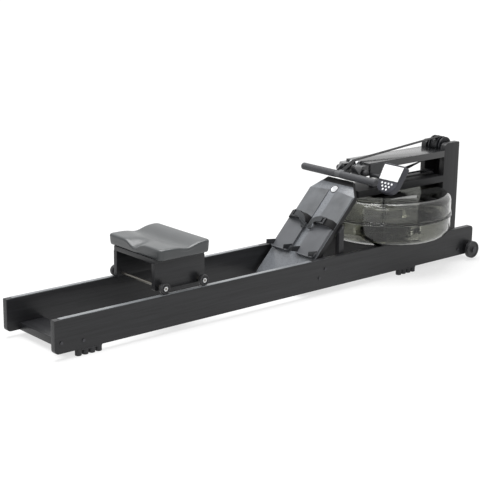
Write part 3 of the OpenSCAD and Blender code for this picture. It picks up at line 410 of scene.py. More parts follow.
def about(axis, centre):
    """Place of a turned point: two radial lengths and one along the axis."""
    cx, cy, cz = centre
    return {"X": lambda u, v, h: (cx + h, cy + u, cz + v),
            "Y": lambda u, v, h: (cx + u, cy + h, cz - v),
            "Z": lambda u, v, h: (cx + u, cy + v, cz + h)}[axis]


def lathe(name, profile, place, look, body, stands_for=(), turns=72, smooth=32):
    """A closed profile of radius and height turned about the axis that place gives."""
    n = len(profile)
    points, faces = [], []
    for k in range(turns):
        a = 2 * math.pi * k / turns
        points += [place(r * math.cos(a), r * math.sin(a), h) for r, h in profile]
    for k in range(turns):
        m = (k + 1) % turns
        for j in range(n):
            i = (j + 1) % n
            faces.append((k * n + j, m * n + j, m * n + i, k * n + i))
    return mesh_piece(name, points, faces, look, body, stands_for, smooth)


def soften(profile, r, steps=3):
    """Rounds the corners of a closed profile by r or by what its sides leave room for."""
    out = []
    n = len(profile)
    for k in range(n):
        p, q, w = (np.array(profile[(k + d) % n], float) for d in (-1, 0, 1))
        a, b = p - q, w - q
        la, lb = np.linalg.norm(a), np.linalg.norm(b)
        t = min(r, la * 0.45, lb * 0.45)
        if t < 1e-6 or q[0] < 1e-6:
            out.append(tuple(q))
            continue
        start, end = q + a / la * t, q + b / lb * t
        for i in range(steps + 1):
            f = i / steps
            out.append(tuple((1 - f) ** 2 * start + 2 * f * (1 - f) * q + f * f * end))
    return out


def skin(name, rings, look, body, stands_for=(), smooth=40, closed=False, extra=()):
    """A skin over cross sections with equal numbers of points, capped unless closed."""
    n = len(rings[0])
    points = [p for ring in rings for p in ring]
    count = len(rings)
    faces = []
    for i in range(count if closed else count - 1):
        m = (i + 1) % count
        faces += [(i * n + j, m * n + j, m * n + (j + 1) % n, i * n + (j + 1) % n)
                  for j in range(n)]
    if not closed:
        faces += [tuple(range(n)), tuple(range(count * n - 1, (count - 1) * n - 1, -1))]
    return mesh_piece(name, points, faces, look, body, stands_for, smooth, extra)


def unit(v):
    v = np.array(v, float)
    return v / max(np.linalg.norm(v), 1e-9)


def tape_ring(at, wide, thick, w, t):
    """Rounded cross section of a strap: wide and thick are its directions."""
    at, wide, thick = np.array(at, float), unit(wide), unit(thick)
    r = t / 2
    marks = [(s * (w / 2 - r) + r * math.cos(math.radians(a)), r * math.sin(math.radians(a)))
             for s, start in ((1, -90), (-1, 90)) for a in range(start, start + 181, 45)]
    return [tuple(at + wide * u + thick * v) for u, v in marks]


def tube_rings(path, radius, sides=12):
    """Rings of a round tube along a path, without twist."""
    path = [np.array(p, float) for p in path]
    rings, side = [], None
    for k, at in enumerate(path):
        ahead_k = unit(path[min(k + 1, len(path) - 1)] - path[max(k - 1, 0)])
        if side is None:
            side = unit(np.cross(ahead_k, (0.3, 0.1, 1)))
        side = unit(side - ahead_k * np.dot(side, ahead_k))
        other = np.cross(ahead_k, side)
        rings.append([tuple(at + radius * (math.cos(2 * math.pi * j / sides) * side
                                           + math.sin(2 * math.pi * j / sides) * other))
                      for j in range(sides)])
    return rings


def upright(x, z, y):
    return (x, y, z)


def flat(x, y, z):
    return (x, y, z)


# ---------------------------------------------------------------- sizes shared with the solids
RAIL_IN, RAIL_OUT, RAIL_TOP, FOOT_H = 138.0, 162.0, 141.0, 24.0
TRACK_T, TRACK_MID = 1.5, 150.0
POST_IN, POST_OUT, POST_X0, POST_X1, POST_TOP = 41.0, 65.0, 1996.0, 2088.0, 488.0
DECK_X, DECK_HALF, DECK_T, DECK_TOP = 1545.0, 65.0, 27.0, 458.0
TANK_R = 276.0
TANK_X = POST_X0 - 12 - math.sqrt(TANK_R ** 2 - POST_IN ** 2)
TANK_TOP, SHELF_Z, SEAM_Z = 317.0, 325.0, 235.0
BOARD_X, BOARD_T = 1213.0, 20.0
BOARD_A = math.radians(47)
MON_X, MON_Y, MON_Z = 1510.0, -202.0, 416.0
MON_A = math.radians(59)
SEAT_X, WHEEL_Z, PAD_Z = 548.0, 162.8, 264.8
PULLEY_X, PULLEY_Z = 2036.0, 470.0
HANDLE_X, HANDLE_Z = 1440.0, 418.0
SIDES = (("left", 1), ("right", -1))


def on_board(s, y, n):
    """Slope distance, width and height over the footboard's face."""
    return (BOARD_X + s * math.cos(BOARD_A) - n * math.sin(BOARD_A), y,
            RAIL_TOP + s * math.sin(BOARD_A) + n * math.cos(BOARD_A))


def on_monitor(s, y, n):
    return (MON_X + s * math.cos(MON_A) - n * math.sin(MON_A), MON_Y + y,
            MON_Z + s * math.sin(MON_A) + n * math.cos(MON_A))


# ---------------------------------------------------------------- frame
for side, sign in SIDES:
    low, high = sorted((sign * RAIL_IN, sign * RAIL_OUT))
    prism(f"rail_board_{side}", rounded(0, FOOT_H, RAIL_LEN, RAIL_TOP, (15, 2, 15, 2)), low, high,
          upright, "wood_x", "frame", (f"rail_{side}",), edge=2.0, steps=3)
    low, high = sorted((sign * POST_IN, sign * POST_OUT))
    prism(f"post_board_{side}", rounded(POST_X0, 78, POST_X1, POST_TOP, (0, 0, 6, 24), 8),
          low, high, upright, "wood_z", "frame", (f"post_{side}",), edge=2.0, steps=3)
    # light track strips stand in for the sheen on the rail tops: painted highlight
    prism(f"track_strip_sheen_{side}", rounded(24, sign * TRACK_MID - 9, 1154, sign * TRACK_MID + 9,
                                         (2, 2, 2, 2)), RAIL_TOP, RAIL_TOP + TRACK_T, flat,
          "track", "frame", ("seat_tracks",), edge=0.5)

prism("rear_spreader_board", rounded(50, FOOT_H, 150, 50, (0, 0, 3, 3)), -RAIL_IN, RAIL_IN,
      upright, "wood_y", "frame", ("rear_spreader",))
prism("front_spreader_board", rounded(POST_X1 - 124, FOOT_H, POST_X1, 78, (0, 0, 3, 3)),
      -RAIL_IN, RAIL_IN, upright, "wood_y", "frame", ("front_spreader",))
prism("post_brace", rounded(POST_X1 - 24, 78, POST_X1 - 2, 425, (0, 0, 3, 3)), -POST_IN, POST_IN,
      upright, "wood_z", "frame", edge=1.5)
for k, off in enumerate((-125, 125)):
    x = TANK_X + off
    prism(f"tank_board_{k}", rounded(x - 40, -RAIL_IN, x + 40, RAIL_IN, (0, 0, 0, 0)),
          RAIL_TOP - 26, RAIL_TOP, flat, "wood_y", "frame", ("tank_supports",))
prism("deck_board", rounded(DECK_X, -DECK_HALF, POST_X0, DECK_HALF, (2, 0, 0, 2)),
      DECK_TOP - DECK_T, DECK_TOP, flat, "deck", "frame", ("top_deck",), edge=2.5,
      steps=3)
# the shelf's darker wood carries painted shade from the deck above
prism("shelf_board", rounded(DECK_X - 55, -DECK_HALF, POST_X0, DECK_HALF, (2, 0, 0, 2)),
      SHELF_Z, SHELF_Z + DECK_T, flat, "shelf", "frame", ("lower_shelf",), edge=2.5,
      steps=3)

# ---------------------------------------------------------------- footboard
BOARD_UP, FACE_UP, BOARD_LOW, BOARD_HALF = 350.0, 326.0, -134.0, 125.0
CUT_S, CUT_SLOPE = 285.0, 56 / 65
PLATE_IN, PLATE_OUT, PLATE_T = 19, 122, 4
LEG_X, LEG_Z, LEG_IN, LEG_OUT = (1317, 1343), 40, 118, 138
BADGE_S, BADGE_Y = 300, -3


def board_outline(up, inset=0.0):
    """Footboard with its corners cut, up to a slope distance."""
    low, half = BOARD_LOW + inset, BOARD_HALF - inset
    top = half - max(0, up - CUT_S) * CUT_SLOPE
    return [(low, -half), (CUT_S, -half), (up, -top), (up, top), (CUT_S, half), (low, half)]


# black board showing above the light face sheet: the board's own black plus painted shade under
# the handle
prism("foot_board", board_outline(BOARD_UP), -BOARD_T, 0, on_board, "board_dark_and_shade", "frame",
      ("footboard",), edge=2.0, steps=3)
prism("foot_face", board_outline(FACE_UP, 1.5), -0.6, 0.9, on_board, "board", "frame",
      ("footboard",), edge=0.6, steps=2)
for side, sign in SIDES:
    low, high = sorted((sign * LEG_IN, sign * LEG_OUT))
    prism(f"batten_{side}", rounded(-88, -46, 24, -20, (2, 2, 0, 0)), low, high,
          lambda s, n, y: on_board(s, y, n), "wood_y", "frame",
          ("foot_supports",), edge=1.5)
    under = [RAIL_TOP + ((x - BOARD_X) * math.sin(BOARD_A) - BOARD_T) / math.cos(BOARD_A)
             for x in LEG_X]
    prism(f"leg_{side}", [(LEG_X[0], LEG_Z), (LEG_X[1], LEG_Z), (LEG_X[1], under[1]),
                          (LEG_X[0], under[0])], low, high,
          upright, "wood_z", "frame", ("foot_supports",), edge=1.5)
    prism(f"foot_plate_{side}", [(-8, sign * PLATE_IN), (293, sign * PLATE_IN),
                                 (283, sign * PLATE_OUT), (-8, sign * PLATE_OUT)], 0.0, PLATE_T,
          on_board, "plate", "frame", ("foot_plates",), edge=1.2, steps=3)

def on_badge(u, v, h):
    return on_board(BADGE_S + u, BADGE_Y + v, h)


lathe("badge_disc",
      soften([(0, 0.4), (15, 0.4), (15, 2.6), (13, 2.6), (12.6, 2.2), (0, 2.2)], 0.5),
      on_badge, "badge", "frame", turns=48)
lathe("badge_ring", soften([(15, 0.4), (17.5, 0.4), (17.5, 2.2), (16.5, 3.0), (15, 3.0)], 0.4),
      on_badge, "rubber", "frame", turns=48)


# ---------------------------------------------------------------- heel plates
HEEL_R, HEEL_T, HEEL_N, CUP_WALL, CUP_H = 50.5, 8.0, 4.3, 5.0, 38.0
HEEL_LOW, HEEL_TOP, HEEL_ROUND, LIP_S = -15.0, 140.0, 12.0, 12.0
FOOT_MID = 70.5
EAR_BEND = 0.0016

for side, sign in SIDES:
    body, mid = f"heel_{side}", sign * FOOT_MID
    node = (f"heel_plate_{side}",)
    base = rounded(HEEL_LOW, -HEEL_R, HEEL_TOP, HEEL_R, (HEEL_ROUND, 1.5, 1.5, HEEL_ROUND), 8)
    prism(f"heel_base_{side}", base, HEEL_N, HEEL_N + HEEL_T,
          lambda s, y, n, m=mid: on_board(s, m + y, n), "heel", body, node,
          edge=2.0, steps=3)
    inner_r = HEEL_R - CUP_WALL
    bend_s, bend_y, thin_r = HEEL_LOW + HEEL_ROUND, HEEL_R - HEEL_ROUND, HEEL_ROUND - CUP_WALL
    lip = ([(LIP_S, -HEEL_R)] + arc(bend_s, -bend_y, HEEL_ROUND, 270, 180, 8)
           + arc(bend_s, bend_y, HEEL_ROUND, 180, 90, 8) + [(LIP_S, HEEL_R), (LIP_S, inner_r)]
           + arc(bend_s, bend_y, thin_r, 90, 180, 8)
           + arc(bend_s, -bend_y, thin_r, 180, 270, 8) + [(LIP_S, -inner_r)])
    prism(f"heel_lip_{side}", lip, HEEL_N + 1, HEEL_N + HEEL_T + 7,
          lambda s, y, n, m=mid: on_board(s, m + y, n), "heel", body, node,
          edge=2.0, steps=3)
    for k, way in enumerate((-1, 1)):
        low, high = sorted((way * (HEEL_R - CUP_WALL), way * HEEL_R))
        fin = soften([(-4, 1), (20, 1), (21, 8), (-7, CUP_H + HEEL_T), (-21, CUP_H + HEEL_T - 11),
                      (-5, 8)], 6, 5)
        # the ears take the darkened heel plastic, painted shade in place of their shadow
        prism(f"heel_ear_{side}_{k}", fin, low, high,
              lambda s, n, y, m=mid, w=way: on_board(
                  s, m + y + w * (EAR_BEND * max(0, n - 8) ** 2 - 0.4), n + HEEL_N),
              "heel_painted_shade", body, node, edge=1.6, steps=3)

# ---------------------------------------------------------------- foot straps
STRAP_S, STRAP_W, STRAP_T, STRAP_H = 141.0, 32.0, 2.5, 32.0
STRAP_HALF = 51.5 + 0.3 + STRAP_T


def strap_point(t):
    """Place in Y and height on the middle line of the strap's arch."""
    half, high = STRAP_HALF - STRAP_T / 2, STRAP_H - STRAP_T / 2
    y = half * math.copysign(abs(math.cos(t)) ** 0.72, math.cos(t))
    n = high * abs(math.sin(t)) ** 0.9
    return np.array((y, n))


def board_way(v):
    """A direction over the footboard turned into one in space."""
    return np.array(on_board(*v)) - np.array(on_board(0, 0, 0))


BUCKLE_PARTS = ((125.5, 131, -19, 19, 32.3, 38.3), (151, 156.5, -19, 19, 32.3, 38.3),
                (131, 151, -19, -14, 32.3, 38.3), (131, 151, 14, 19, 32.3, 38.3),
                (131, 151, -3, 2.5, 33, 37.6), (131, 151, -14, 14, 32.3, 34.2))
STRAP_TAIL = ((141, -6, 39.5), (141, 8, 40.6), (139, 22, 40.2), (134, 34, 37.5),
              (126, 44, 33.5), (116, 50, 28.0), (106, 53, 22.0), (97, 54, 17.0))
TAIL_W, TAIL_T, STRAP_STEPS = 24, 2.0, 72


for side, sign in SIDES:
    mid = sign * FOOT_MID
    rings = []
    for k in range(STRAP_STEPS + 1):
        t = math.pi * k / STRAP_STEPS
        here = strap_point(t)
        near_a, near_b = strap_point(max(t - 0.02, 0)), strap_point(min(t + 0.02, math.pi))
        along = unit(near_b - near_a)
        out = np.array((along[1], -along[0]))
        sag = 0.5 * math.sin(6 * t)
        at = on_board(STRAP_S + sag, mid + here[0], max(here[1], 4.2))
        rings.append(tape_ring(at, board_way((1, 0, 0)), board_way((0, out[0], out[1])),
                               STRAP_W, STRAP_T))
    skin(f"strap_loop_{side}", rings, "webbing", "frame", ("foot_straps",), smooth=60)
    # loose end of the strap, out of the buckle and down over the loop on its inner side
    rings = []
    for k, (s, y, n) in enumerate(STRAP_TAIL):
        p0, p1 = (np.array(STRAP_TAIL[min(max(k + d, 0), len(STRAP_TAIL) - 1)], float)
                  for d in (-1, 1))
        along = unit(p1 - p0)
        up_n = unit(np.array((0, 0, 1.0)) - along * along[2])
        across_n = np.cross(up_n, along)
        wide, thick = (board_way((v[0], -sign * v[1], v[2])) for v in (across_n, up_n))
        rings.append(tape_ring(on_board(s, mid - sign * y, n), wide, thick, TAIL_W, TAIL_T))
    skin(f"strap_tail_{side}", rings, "tail", "frame", ("foot_straps",), smooth=60,
         extra=(("SUBSURF", {"levels": 2, "render_levels": 2}),))
    # buckle: a frame with a bar and a plate over the strap
    for k, (s0, s1, y0, y1, n0, n1) in enumerate(BUCKLE_PARTS):
        prism(f"buckle_{side}_{k}", rounded(s0, mid + y0, s1, mid + y1, (1, 1, 1, 1), 3), n0, n1,
              on_board, "buckle", "frame", ("strap_buckles",), edge=0.8)

# ---------------------------------------------------------------- tank
WALL = 5.0
OUT_R = TANK_R - 4
IN_R = OUT_R - WALL


def bowl(r, corner, start, end, steps=10):
    return [(r - corner + corner * math.cos(math.radians(start + (end - start) * k / steps)),
             corner * math.sin(math.radians(start + (end - start) * k / steps)))
            for k in range(steps + 1)]


tank_place = about("Z", (TANK_X, 0, 0))
low = RAIL_TOP
shell = [(0, low), *[(r, low + 45 + z) for r, z in bowl(OUT_R, 45, -90, 0)],
         (OUT_R, SEAM_Z - 7.5), (OUT_R + 1.2, SEAM_Z - 6.5), (TANK_R - 0.6, SEAM_Z - 6.2),
         (TANK_R, SEAM_Z - 5.4), (TANK_R, SEAM_Z - 2.2), (TANK_R - 0.7, SEAM_Z - 1.5),
         (IN_R, SEAM_Z - 1.5),
         *[(r, low + 45 + z) for r, z in reversed(bowl(IN_R, 40, -90, 0))], (0, low + WALL)]
lathe("tank_bowl", shell, tank_place, "tank", "frame", ("tank_lower",), turns=144,
      smooth=35)
lid = [(15, SHELF_Z), (15, TANK_TOP - WALL),
       *[(r, TANK_TOP - 30 + z) for r, z in reversed(bowl(IN_R, 25, 0, 90))],
       (IN_R, SEAM_Z + 1.5), (TANK_R - 0.7, SEAM_Z + 1.5), (TANK_R, SEAM_Z + 2.2),
       (TANK_R, SEAM_Z + 5.4), (TANK_R - 0.6, SEAM_Z + 6.2), (OUT_R + 1.2, SEAM_Z + 6.5),
       (OUT_R, SEAM_Z + 7.5), *[(r, TANK_TOP - 30 + z) for r, z in bowl(OUT_R, 30, 0, 90)],
       (52, TANK_TOP), (48.6, TANK_TOP + 0.6), (48, TANK_TOP + 2), (48, SHELF_Z - 0.8),
       (47, SHELF_Z)]
lathe("tank_lid", lid, tank_place, "tank", "frame", ("tank_upper",), turns=144,
      smooth=35)
lathe("fill_cap", soften([(0, -5), (14, -5), (14, 0), (19, 0), (19, 4), (11, 4.5), (9.5, 12),
                          (0, 12)], 1.2),
      about("Z", (TANK_X + 40, 150, TANK_TOP)), "rubber", "fill_plug",
      ("fill_plug",), turns=48)

# ---------------------------------------------------------------- pulleys and drum
half = [(0, 31), (37, 31), (37, 25), (16, 25), (16, 15.5), (38, 15.5), (38, 12.5), (35, 12.5)]
outline = [(6.1, 31)] + half[1:] + [(r, -h) for r, h in reversed(half[1:])] + [(6.1, -31)]
lathe("strap_pulley", soften(outline, 1.2), about("Y", (PULLEY_X, 0, PULLEY_Z)), "moulded",
      "front_pulley", ("front_pulley",), turns=64)
Z0 = SHELF_Z + DECK_T + 4.3
BELT_Z = Z0 + 12 + 3 + 11 + 1
drum = [(9.2, Z0), (20, Z0), (20, Z0 + 12), (32, Z0 + 12), (32, Z0 + 15), (27, Z0 + 15),
        (27, BELT_Z + 14.5), (32, BELT_Z + 14.5), (32, BELT_Z + 17.5), (17, BELT_Z + 17.5),
        (17, BELT_Z + 26.5), (9.2, BELT_Z + 26.5)]
lathe("strap_drum", soften(drum, 0.8), about("Z", (TANK_X, 0, 0)), "moulded", "drive_drum",
      ("drive_drum",), turns=64)
lathe("bearing_flange", soften([(9.2, 334), (20, 334), (20, 352), (28, 352), (28, 356),
                                (9.2, 356)], 0.8), about("Z", (TANK_X, 0, 0)), "moulded", "frame",
      ("shaft_bearing",), turns=48)

# ---------------------------------------------------------------- straps and recoil cord
ROD_X, ROD_Z, BELT_T, BELT_W = 1530.0, 451.0, 2.0, 22.0
ROD_PATH, PULLEY_PATH, DRUM_PATH = 13.3, 36.3, 28.3


def slope(p, q):
    return math.atan2(q[1] - p[1], q[0] - p[0])


def dist(p, q):
    return math.hypot(q[0] - p[0], q[1] - p[1])


HANDLE, ROD, PULLEY, DRUM = ((HANDLE_X, HANDLE_Z), (ROD_X, ROD_Z), (PULLEY_X, PULLEY_Z),
                             (TANK_X, BELT_Z))
HAND_A = slope(HANDLE, ROD) + math.asin(ROD_PATH / dist(HANDLE, ROD))
TOP_A = slope(ROD, PULLEY) + math.asin((PULLEY_PATH - ROD_PATH) / dist(ROD, PULLEY))
BACK_A = slope(DRUM, PULLEY) - math.asin(PULLEY_PATH / dist(DRUM, PULLEY))


def belt_ring(p, y, a, twist=0.0):
    out = np.array((math.cos(a), 0, math.sin(a)))
    side = np.array((0, 1.0, 0))
    wide = math.cos(twist) * side + math.sin(twist) * out
    thick = math.cos(twist) * out - math.sin(twist) * side
    return tape_ring((p[0], y, p[1]), wide, thick, BELT_W, BELT_T)


def out_of(c, r, a):
    return (c[0] + r * math.cos(a), c[1] + r * math.sin(a))


start, stop = math.pi / 2 + HAND_A, math.pi / 2 + TOP_A
begin, bend = out_of(HANDLE, 23.5, HAND_A), out_of(ROD, ROD_PATH, start)
rings = [belt_ring((begin[0] + (bend[0] - begin[0]) * k / 8,
                    begin[1] + (bend[1] - begin[1]) * k / 8), 0, start) for k in range(8)]
rings += [belt_ring(out_of(ROD, ROD_PATH, start + (stop - start) * k / 8), 0,
                    start + (stop - start) * k / 8) for k in range(9)]
pull_strap = skin("pull_strap", rings, "webbing", None, ("handle_strap",), smooth=60)
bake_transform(pull_strap)
start, stop = math.pi / 2 + TOP_A, -math.pi / 2 + BACK_A
begin, bend = out_of(ROD, ROD_PATH, start), out_of(PULLEY, PULLEY_PATH, start)
rings = [belt_ring((begin[0] + (bend[0] - begin[0]) * k / 12,
                    begin[1] + (bend[1] - begin[1]) * k / 12), 0, start) for k in range(12)]
rings += [belt_ring(out_of(PULLEY, PULLEY_PATH, start + (stop - start) * k / 40), 0,
                    start + (stop - start) * k / 40) for k in range(41)]
off = out_of(PULLEY, PULLEY_PATH, stop)
rings += [belt_ring((off[0] + (DRUM[0] - off[0]) * k / 32, off[1] + (DRUM[1] - off[1]) * k / 32),
                    -DRUM_PATH * k / 32, stop, math.pi / 2 * k / 32) for k in range(1, 33)]
skin("running_strap", rings, "webbing", "frame", ("drive_strap",), smooth=60)

CORD_Z, CORD_R, CORD_SIDE = Z0 + 6.5, 3.5, 23.8
RECOIL_X, ANCHOR_X = POST_X0 - 32, DECK_X + 55
route = [(TANK_X + (RECOIL_X - TANK_X) * k / 20, CORD_SIDE, CORD_Z) for k in range(20)]
route += [(RECOIL_X + CORD_SIDE * math.cos(math.radians(90 - 180 * k / 24)),
           CORD_SIDE * math.sin(math.radians(90 - 180 * k / 24)), CORD_Z) for k in range(25)]
route += [(RECOIL_X + (ANCHOR_X + 8 - RECOIL_X) * k / 30, -CORD_SIDE, CORD_Z)
          for k in range(1, 31)]
skin("recoil_line", tube_rings(route, CORD_R, 16), "cord", "frame",
     ("recoil_cord",), smooth=50)

# ---------------------------------------------------------------- handle
grip = [(9.6, 15.3), (14.5, 15.3), (14.5, 197), *[(6.5 + 8 * math.cos(math.radians(a)),
        199 + 8 * math.sin(math.radians(a))) for a in range(0, 91, 15)], (0, 207), (0, 199),
        (9.6, 199)]
for side, sign in SIDES:
    lathe(f"foam_{side}", [(r, sign * h) for r, h in grip], about("Y", (HANDLE_X, 0, HANDLE_Z)),
          "foam", "handle", ("handle_grip",), turns=48)

# ---------------------------------------------------------------- handle rests
for side, sign in SIDES:
    corners = []
    cut = (18, 34, 31) if sign < 0 else (20, 34, 36)
    x0, x1, z0, z1, y0, y1 = 1490.0, DECK_X, 408.0, 451.0, 20.0, 65.0
    for p in ((x1, y0, z0), (x1, y1, z0), (x0, y0, z0), (x0, y1, z0), (x1, y0, z1), (x1, y1, z1),
              (x0, y0, z1), (x0 + cut[0], y1, z1), (x0, y1 - cut[1], z1), (x0, y1, z1 - cut[2])):
        corners.append((p[0], sign * p[1], p[2]))
    bm = bmesh.new()
    for p in corners:
        bm.verts.new(metres(p))
    bmesh.ops.convex_hull(bm, input=bm.verts)
    bmesh.ops.dissolve_limit(bm, angle_limit=0.01, verts=bm.verts, edges=bm.edges)
    points = [tuple(v.co * 1000 + Vector((HALF_LEN, 0, 0))) for v in bm.verts]
    bm.verts.index_update()
    faces = [tuple(v.index for v in f.verts) for f in bm.faces]
    bm.free()
    block = mesh_piece(f"rest_block_{side}", points, faces, "deck", "frame",
                       ("handle_rests",))
    round_edges(block, 1.5, 3, 20)
    low, high = sorted((sign * 20, sign * 65))
    prism(f"rest_foot_{side}", rounded(DECK_X - 2, 408, DECK_X + 27, 431, (0, 2, 2, 0)), low,
          high, upright, "wood_x", "frame", ("handle_rests",), edge=1.2)
    ball = [(0, 0), (8, 0), *[(13 * math.cos(math.radians(a)), 9 + 13 * math.sin(math.radians(a)))
                              for a in range(-40, 90, 10)], (0, 22)]
    lathe(f"knob_{side}", [(r, sign * (65 + h)) for r, h in ball], about("Y", (1517, 0, 424)),
          "rubber", "frame", ("rest_knobs",), turns=40)
lathe("rest_rod", soften([(0, -20), (12, -20), (12, 20), (0, 20)], 0.5),
      about("Y", (ROD_X, 0, ROD_Z)), "axle", "frame", ("handle_rests",), turns=40)


# ---------------------------------------------------------------- monitor
top, low_w, key_h, key_r = 57.0, 51.0, 48.0, 38.0
face = [(72, -top + 8), (70, -top + 3), (66, -top), (key_r - key_h + 6, -low_w - 0.6)]
face += [(key_r - key_h + key_r * math.cos(math.radians(a)),
          -(low_w - key_r) + key_r * math.sin(math.radians(a))) for a in range(270, 179, -10)]
face += [(s, -y) for s, y in reversed(face)]
prism("monitor_shell", face, -28, -1.5, on_monitor, "case", "monitor",
      ("monitor_case",), edge=4.0, steps=4)
inner_face = [(s * 0.965 + 0.4, y * 0.955) for s, y in face]
prism("monitor_face", inner_face, -3, 0, on_monitor, "case", "monitor",
      ("monitor_case",), edge=1.0, steps=3)
lathe("monitor_lug", soften([(8.05, -15), (13, -15), (13, 15), (8.05, 15)], 1.0),
      lambda u, v, h: on_monitor(20 + u, h, -42 + v), "case", "monitor",
      ("monitor_case",), turns=40)
prism("monitor_neck", rounded(8, -14, 32, 14, (3, 3, 3, 3)), -36, -27, on_monitor, "case",
      "monitor", ("monitor_case",), edge=1.0)


def screen_face(grow):
    wide, low = top - 6 + grow, 55 - 6 + grow
    return [(3 - grow, -low), (65 + grow, -wide), (65 + grow, wide), (3 - grow, low)]


bars = [screen_face(3), screen_face(0)]
for k in range(4):
    m = (k + 1) % 4
    prism(f"bezel_{k}", [bars[0][k], bars[0][m], bars[1][m], bars[1][k]], -0.5, 1.4, on_monitor,
          "bezel", "monitor", ("monitor_bezel",), edge=0.5)
prism("monitor_window", screen_face(-0.2), -2.9, 0.4, on_monitor, "screen", "monitor",
      ("monitor_lens",), edge=0.3)
KEY_DOME = [(0, -3.5), (4.4, -3.5), (4.4, 0.9), (4.1, 1.5), (3.2, 1.85), (1.6, 2.0), (0, 2.0)]
KEY_S, KEY_ROW, KEY_STEP = -11, 12.5, 17
number = 0
for row in range(3):
    for i in range(4 - row):
        number += 1
        s, y = KEY_S - row * KEY_ROW, (i - (3 - row) / 2) * KEY_STEP
        lathe(f"key_{number}", KEY_DOME, lambda u, v, h, s=s, y=y: on_monitor(s + u, y + v, h),
              "button", f"button_{number}", (f"button_{number}",), turns=28)

# ---------------------------------------------------------------- seat
PAD_L, PAD_W, PAD_FRONT, PAD_REAR, PAD_NOTCH, PAD_ROUND = 225.0, 315.0, 46.0, 40.0, 22.0, 20.0


def pad_outline(inset, corner=10, side=14):
    r = max(PAD_ROUND - inset, 6)
    x, y = PAD_L / 2 - inset - r, PAD_W / 2 - inset - r
    marks = []
    for cx, cy, a in ((x, y, 0), (-x, y, 90), (-x, -y, 180), (x, -y, 270)):
        marks.append([(cx + r * math.cos(math.radians(a + 90 * i / corner)),
                       cy + r * math.sin(math.radians(a + 90 * i / corner)))
                      for i in range(corner + 1)])
    out = []
    for k in range(4):
        p, q = marks[k][-1], marks[(k + 1) % 4][0]
        out += marks[k] + [(p[0] + (q[0] - p[0]) * i / side, p[1] + (q[1] - p[1]) * i / side)
                           for i in range(1, side)]
    return out


def ease(t):
    t = min(max(t, 0), 1)
    return t * t * (3 - 2 * t)


def swell(t, wide):
    return math.exp(-(t * t) / (wide * wide))


def pad_height(x, y):
    u, v = 2 * x / PAD_L, 2 * y / PAD_W
    return (PAD_REAR + (PAD_FRONT - PAD_REAR) * ease((u + 0.1) / 0.9)
            - 9 * swell(u - 0.1, 0.32) - PAD_NOTCH * swell(y, 30) * swell(u + 1.05, 0.55)
            - 3 * (1 - v * v) * swell(u + 0.1, 0.7))


steps = [(7, 0, 0), (4.5, 0.02, 0), (3, 0.1, 0), (2, 0.25, 0), (1, 0.5, 0), (0.4, 0.75, 1),
         (0, 1, 9), (0.2, 1, 6.8), (0.8, 1, 5), (1.9, 1, 3.3), (3.6, 1, 2), (6, 1, 1),
         (9, 1, 0.4), (12.5, 1, 0.1), (16, 1, 0)]
rings = [[(SEAT_X + p[0], p[1], PAD_Z + share * pad_height(p[0], p[1]) - drop)
          for p in pad_outline(inset)] for inset, share, drop in steps]
inner = pad_outline(16)
for k in (0.93, 0.86, 0.79, 0.72, 0.65, 0.58, 0.5, 0.42, 0.34, 0.26, 0.18, 0.1, 0.03):
    rings.append([(SEAT_X + k * x, k * y, PAD_Z + pad_height(k * x, k * y)) for x, y in inner])
pad = skin("saddle", rings, "seat", "seat", ("seat_pad",), smooth=70)
BASE_T, SIDE_L, SIDE_IN, SIDE_OUT, SIDE_LOW = 17, 222, 104, 122, 151.8
seat_rear, seat_front = SEAT_X - SIDE_L / 2, SEAT_X + SIDE_L / 2
prism("seat_board", rounded(seat_rear, -SIDE_OUT, seat_front, SIDE_OUT, (3, 3, 3, 3)),
      PAD_Z - BASE_T, PAD_Z, flat, "wood_x", "seat", ("seat_base",), edge=1.5)
for side, sign in SIDES:
    low, high = sorted((sign * SIDE_IN, sign * SIDE_OUT))
    prism(f"carriage_board_{side}", rounded(seat_rear, SIDE_LOW, seat_front, PAD_Z - BASE_T,
                                            (4, 4, 0, 0)), low, high, upright, "wood_x", "seat",
          ("carriage_sides",), edge=2.0, steps=3)

# ---------------------------------------------------------------- wheels
AXLE_OFF = 86.5
ROLL = [(5.1, 139), (18, 139), (19.4, 139.8), (20, 141.5), (20, 152.5), (19.4, 154.2), (18, 155),
        (15.4, 155), (14.8, 153.6), (12.6, 153.6), (12, 155), (11.2, 154.6), (11, 149.8),
        (5.1, 149.8)]
for end, x in (("rear", SEAT_X - AXLE_OFF), ("front", SEAT_X + AXLE_OFF)):
    for side, sign in SIDES:
        lathe(f"roll_{end}_{side}", [(r, sign * h) for r, h in ROLL],
              about("Y", (x, 0, WHEEL_Z)), "tread", f"seat_wheels_{end}",
              (f"seat_wheels_{end}",), turns=56)
ROLLER_IN, ROLLER_OUT, ROLLER_X, ROLLER_Z = 172.0, 192.0, RAIL_LEN - 24, 44
half = [(6.1, 0), (14, 0), (14.5, 3), (28, 3), (29, 0), (33, 0), (35.2, 1.4), (36, 4)]
wheel = ([(r, ROLLER_IN + h) for r, h in half]
         + [(r, ROLLER_OUT - h) for r, h in reversed(half)])
for side, sign in SIDES:
    lathe(f"roller_{side}", [(r, sign * h) for r, h in soften(wheel, 0.8)],
          about("Y", (ROLLER_X, 0, ROLLER_Z)), "tread", f"transport_wheel_{side}",
          (f"transport_wheel_{side}",), turns=64)

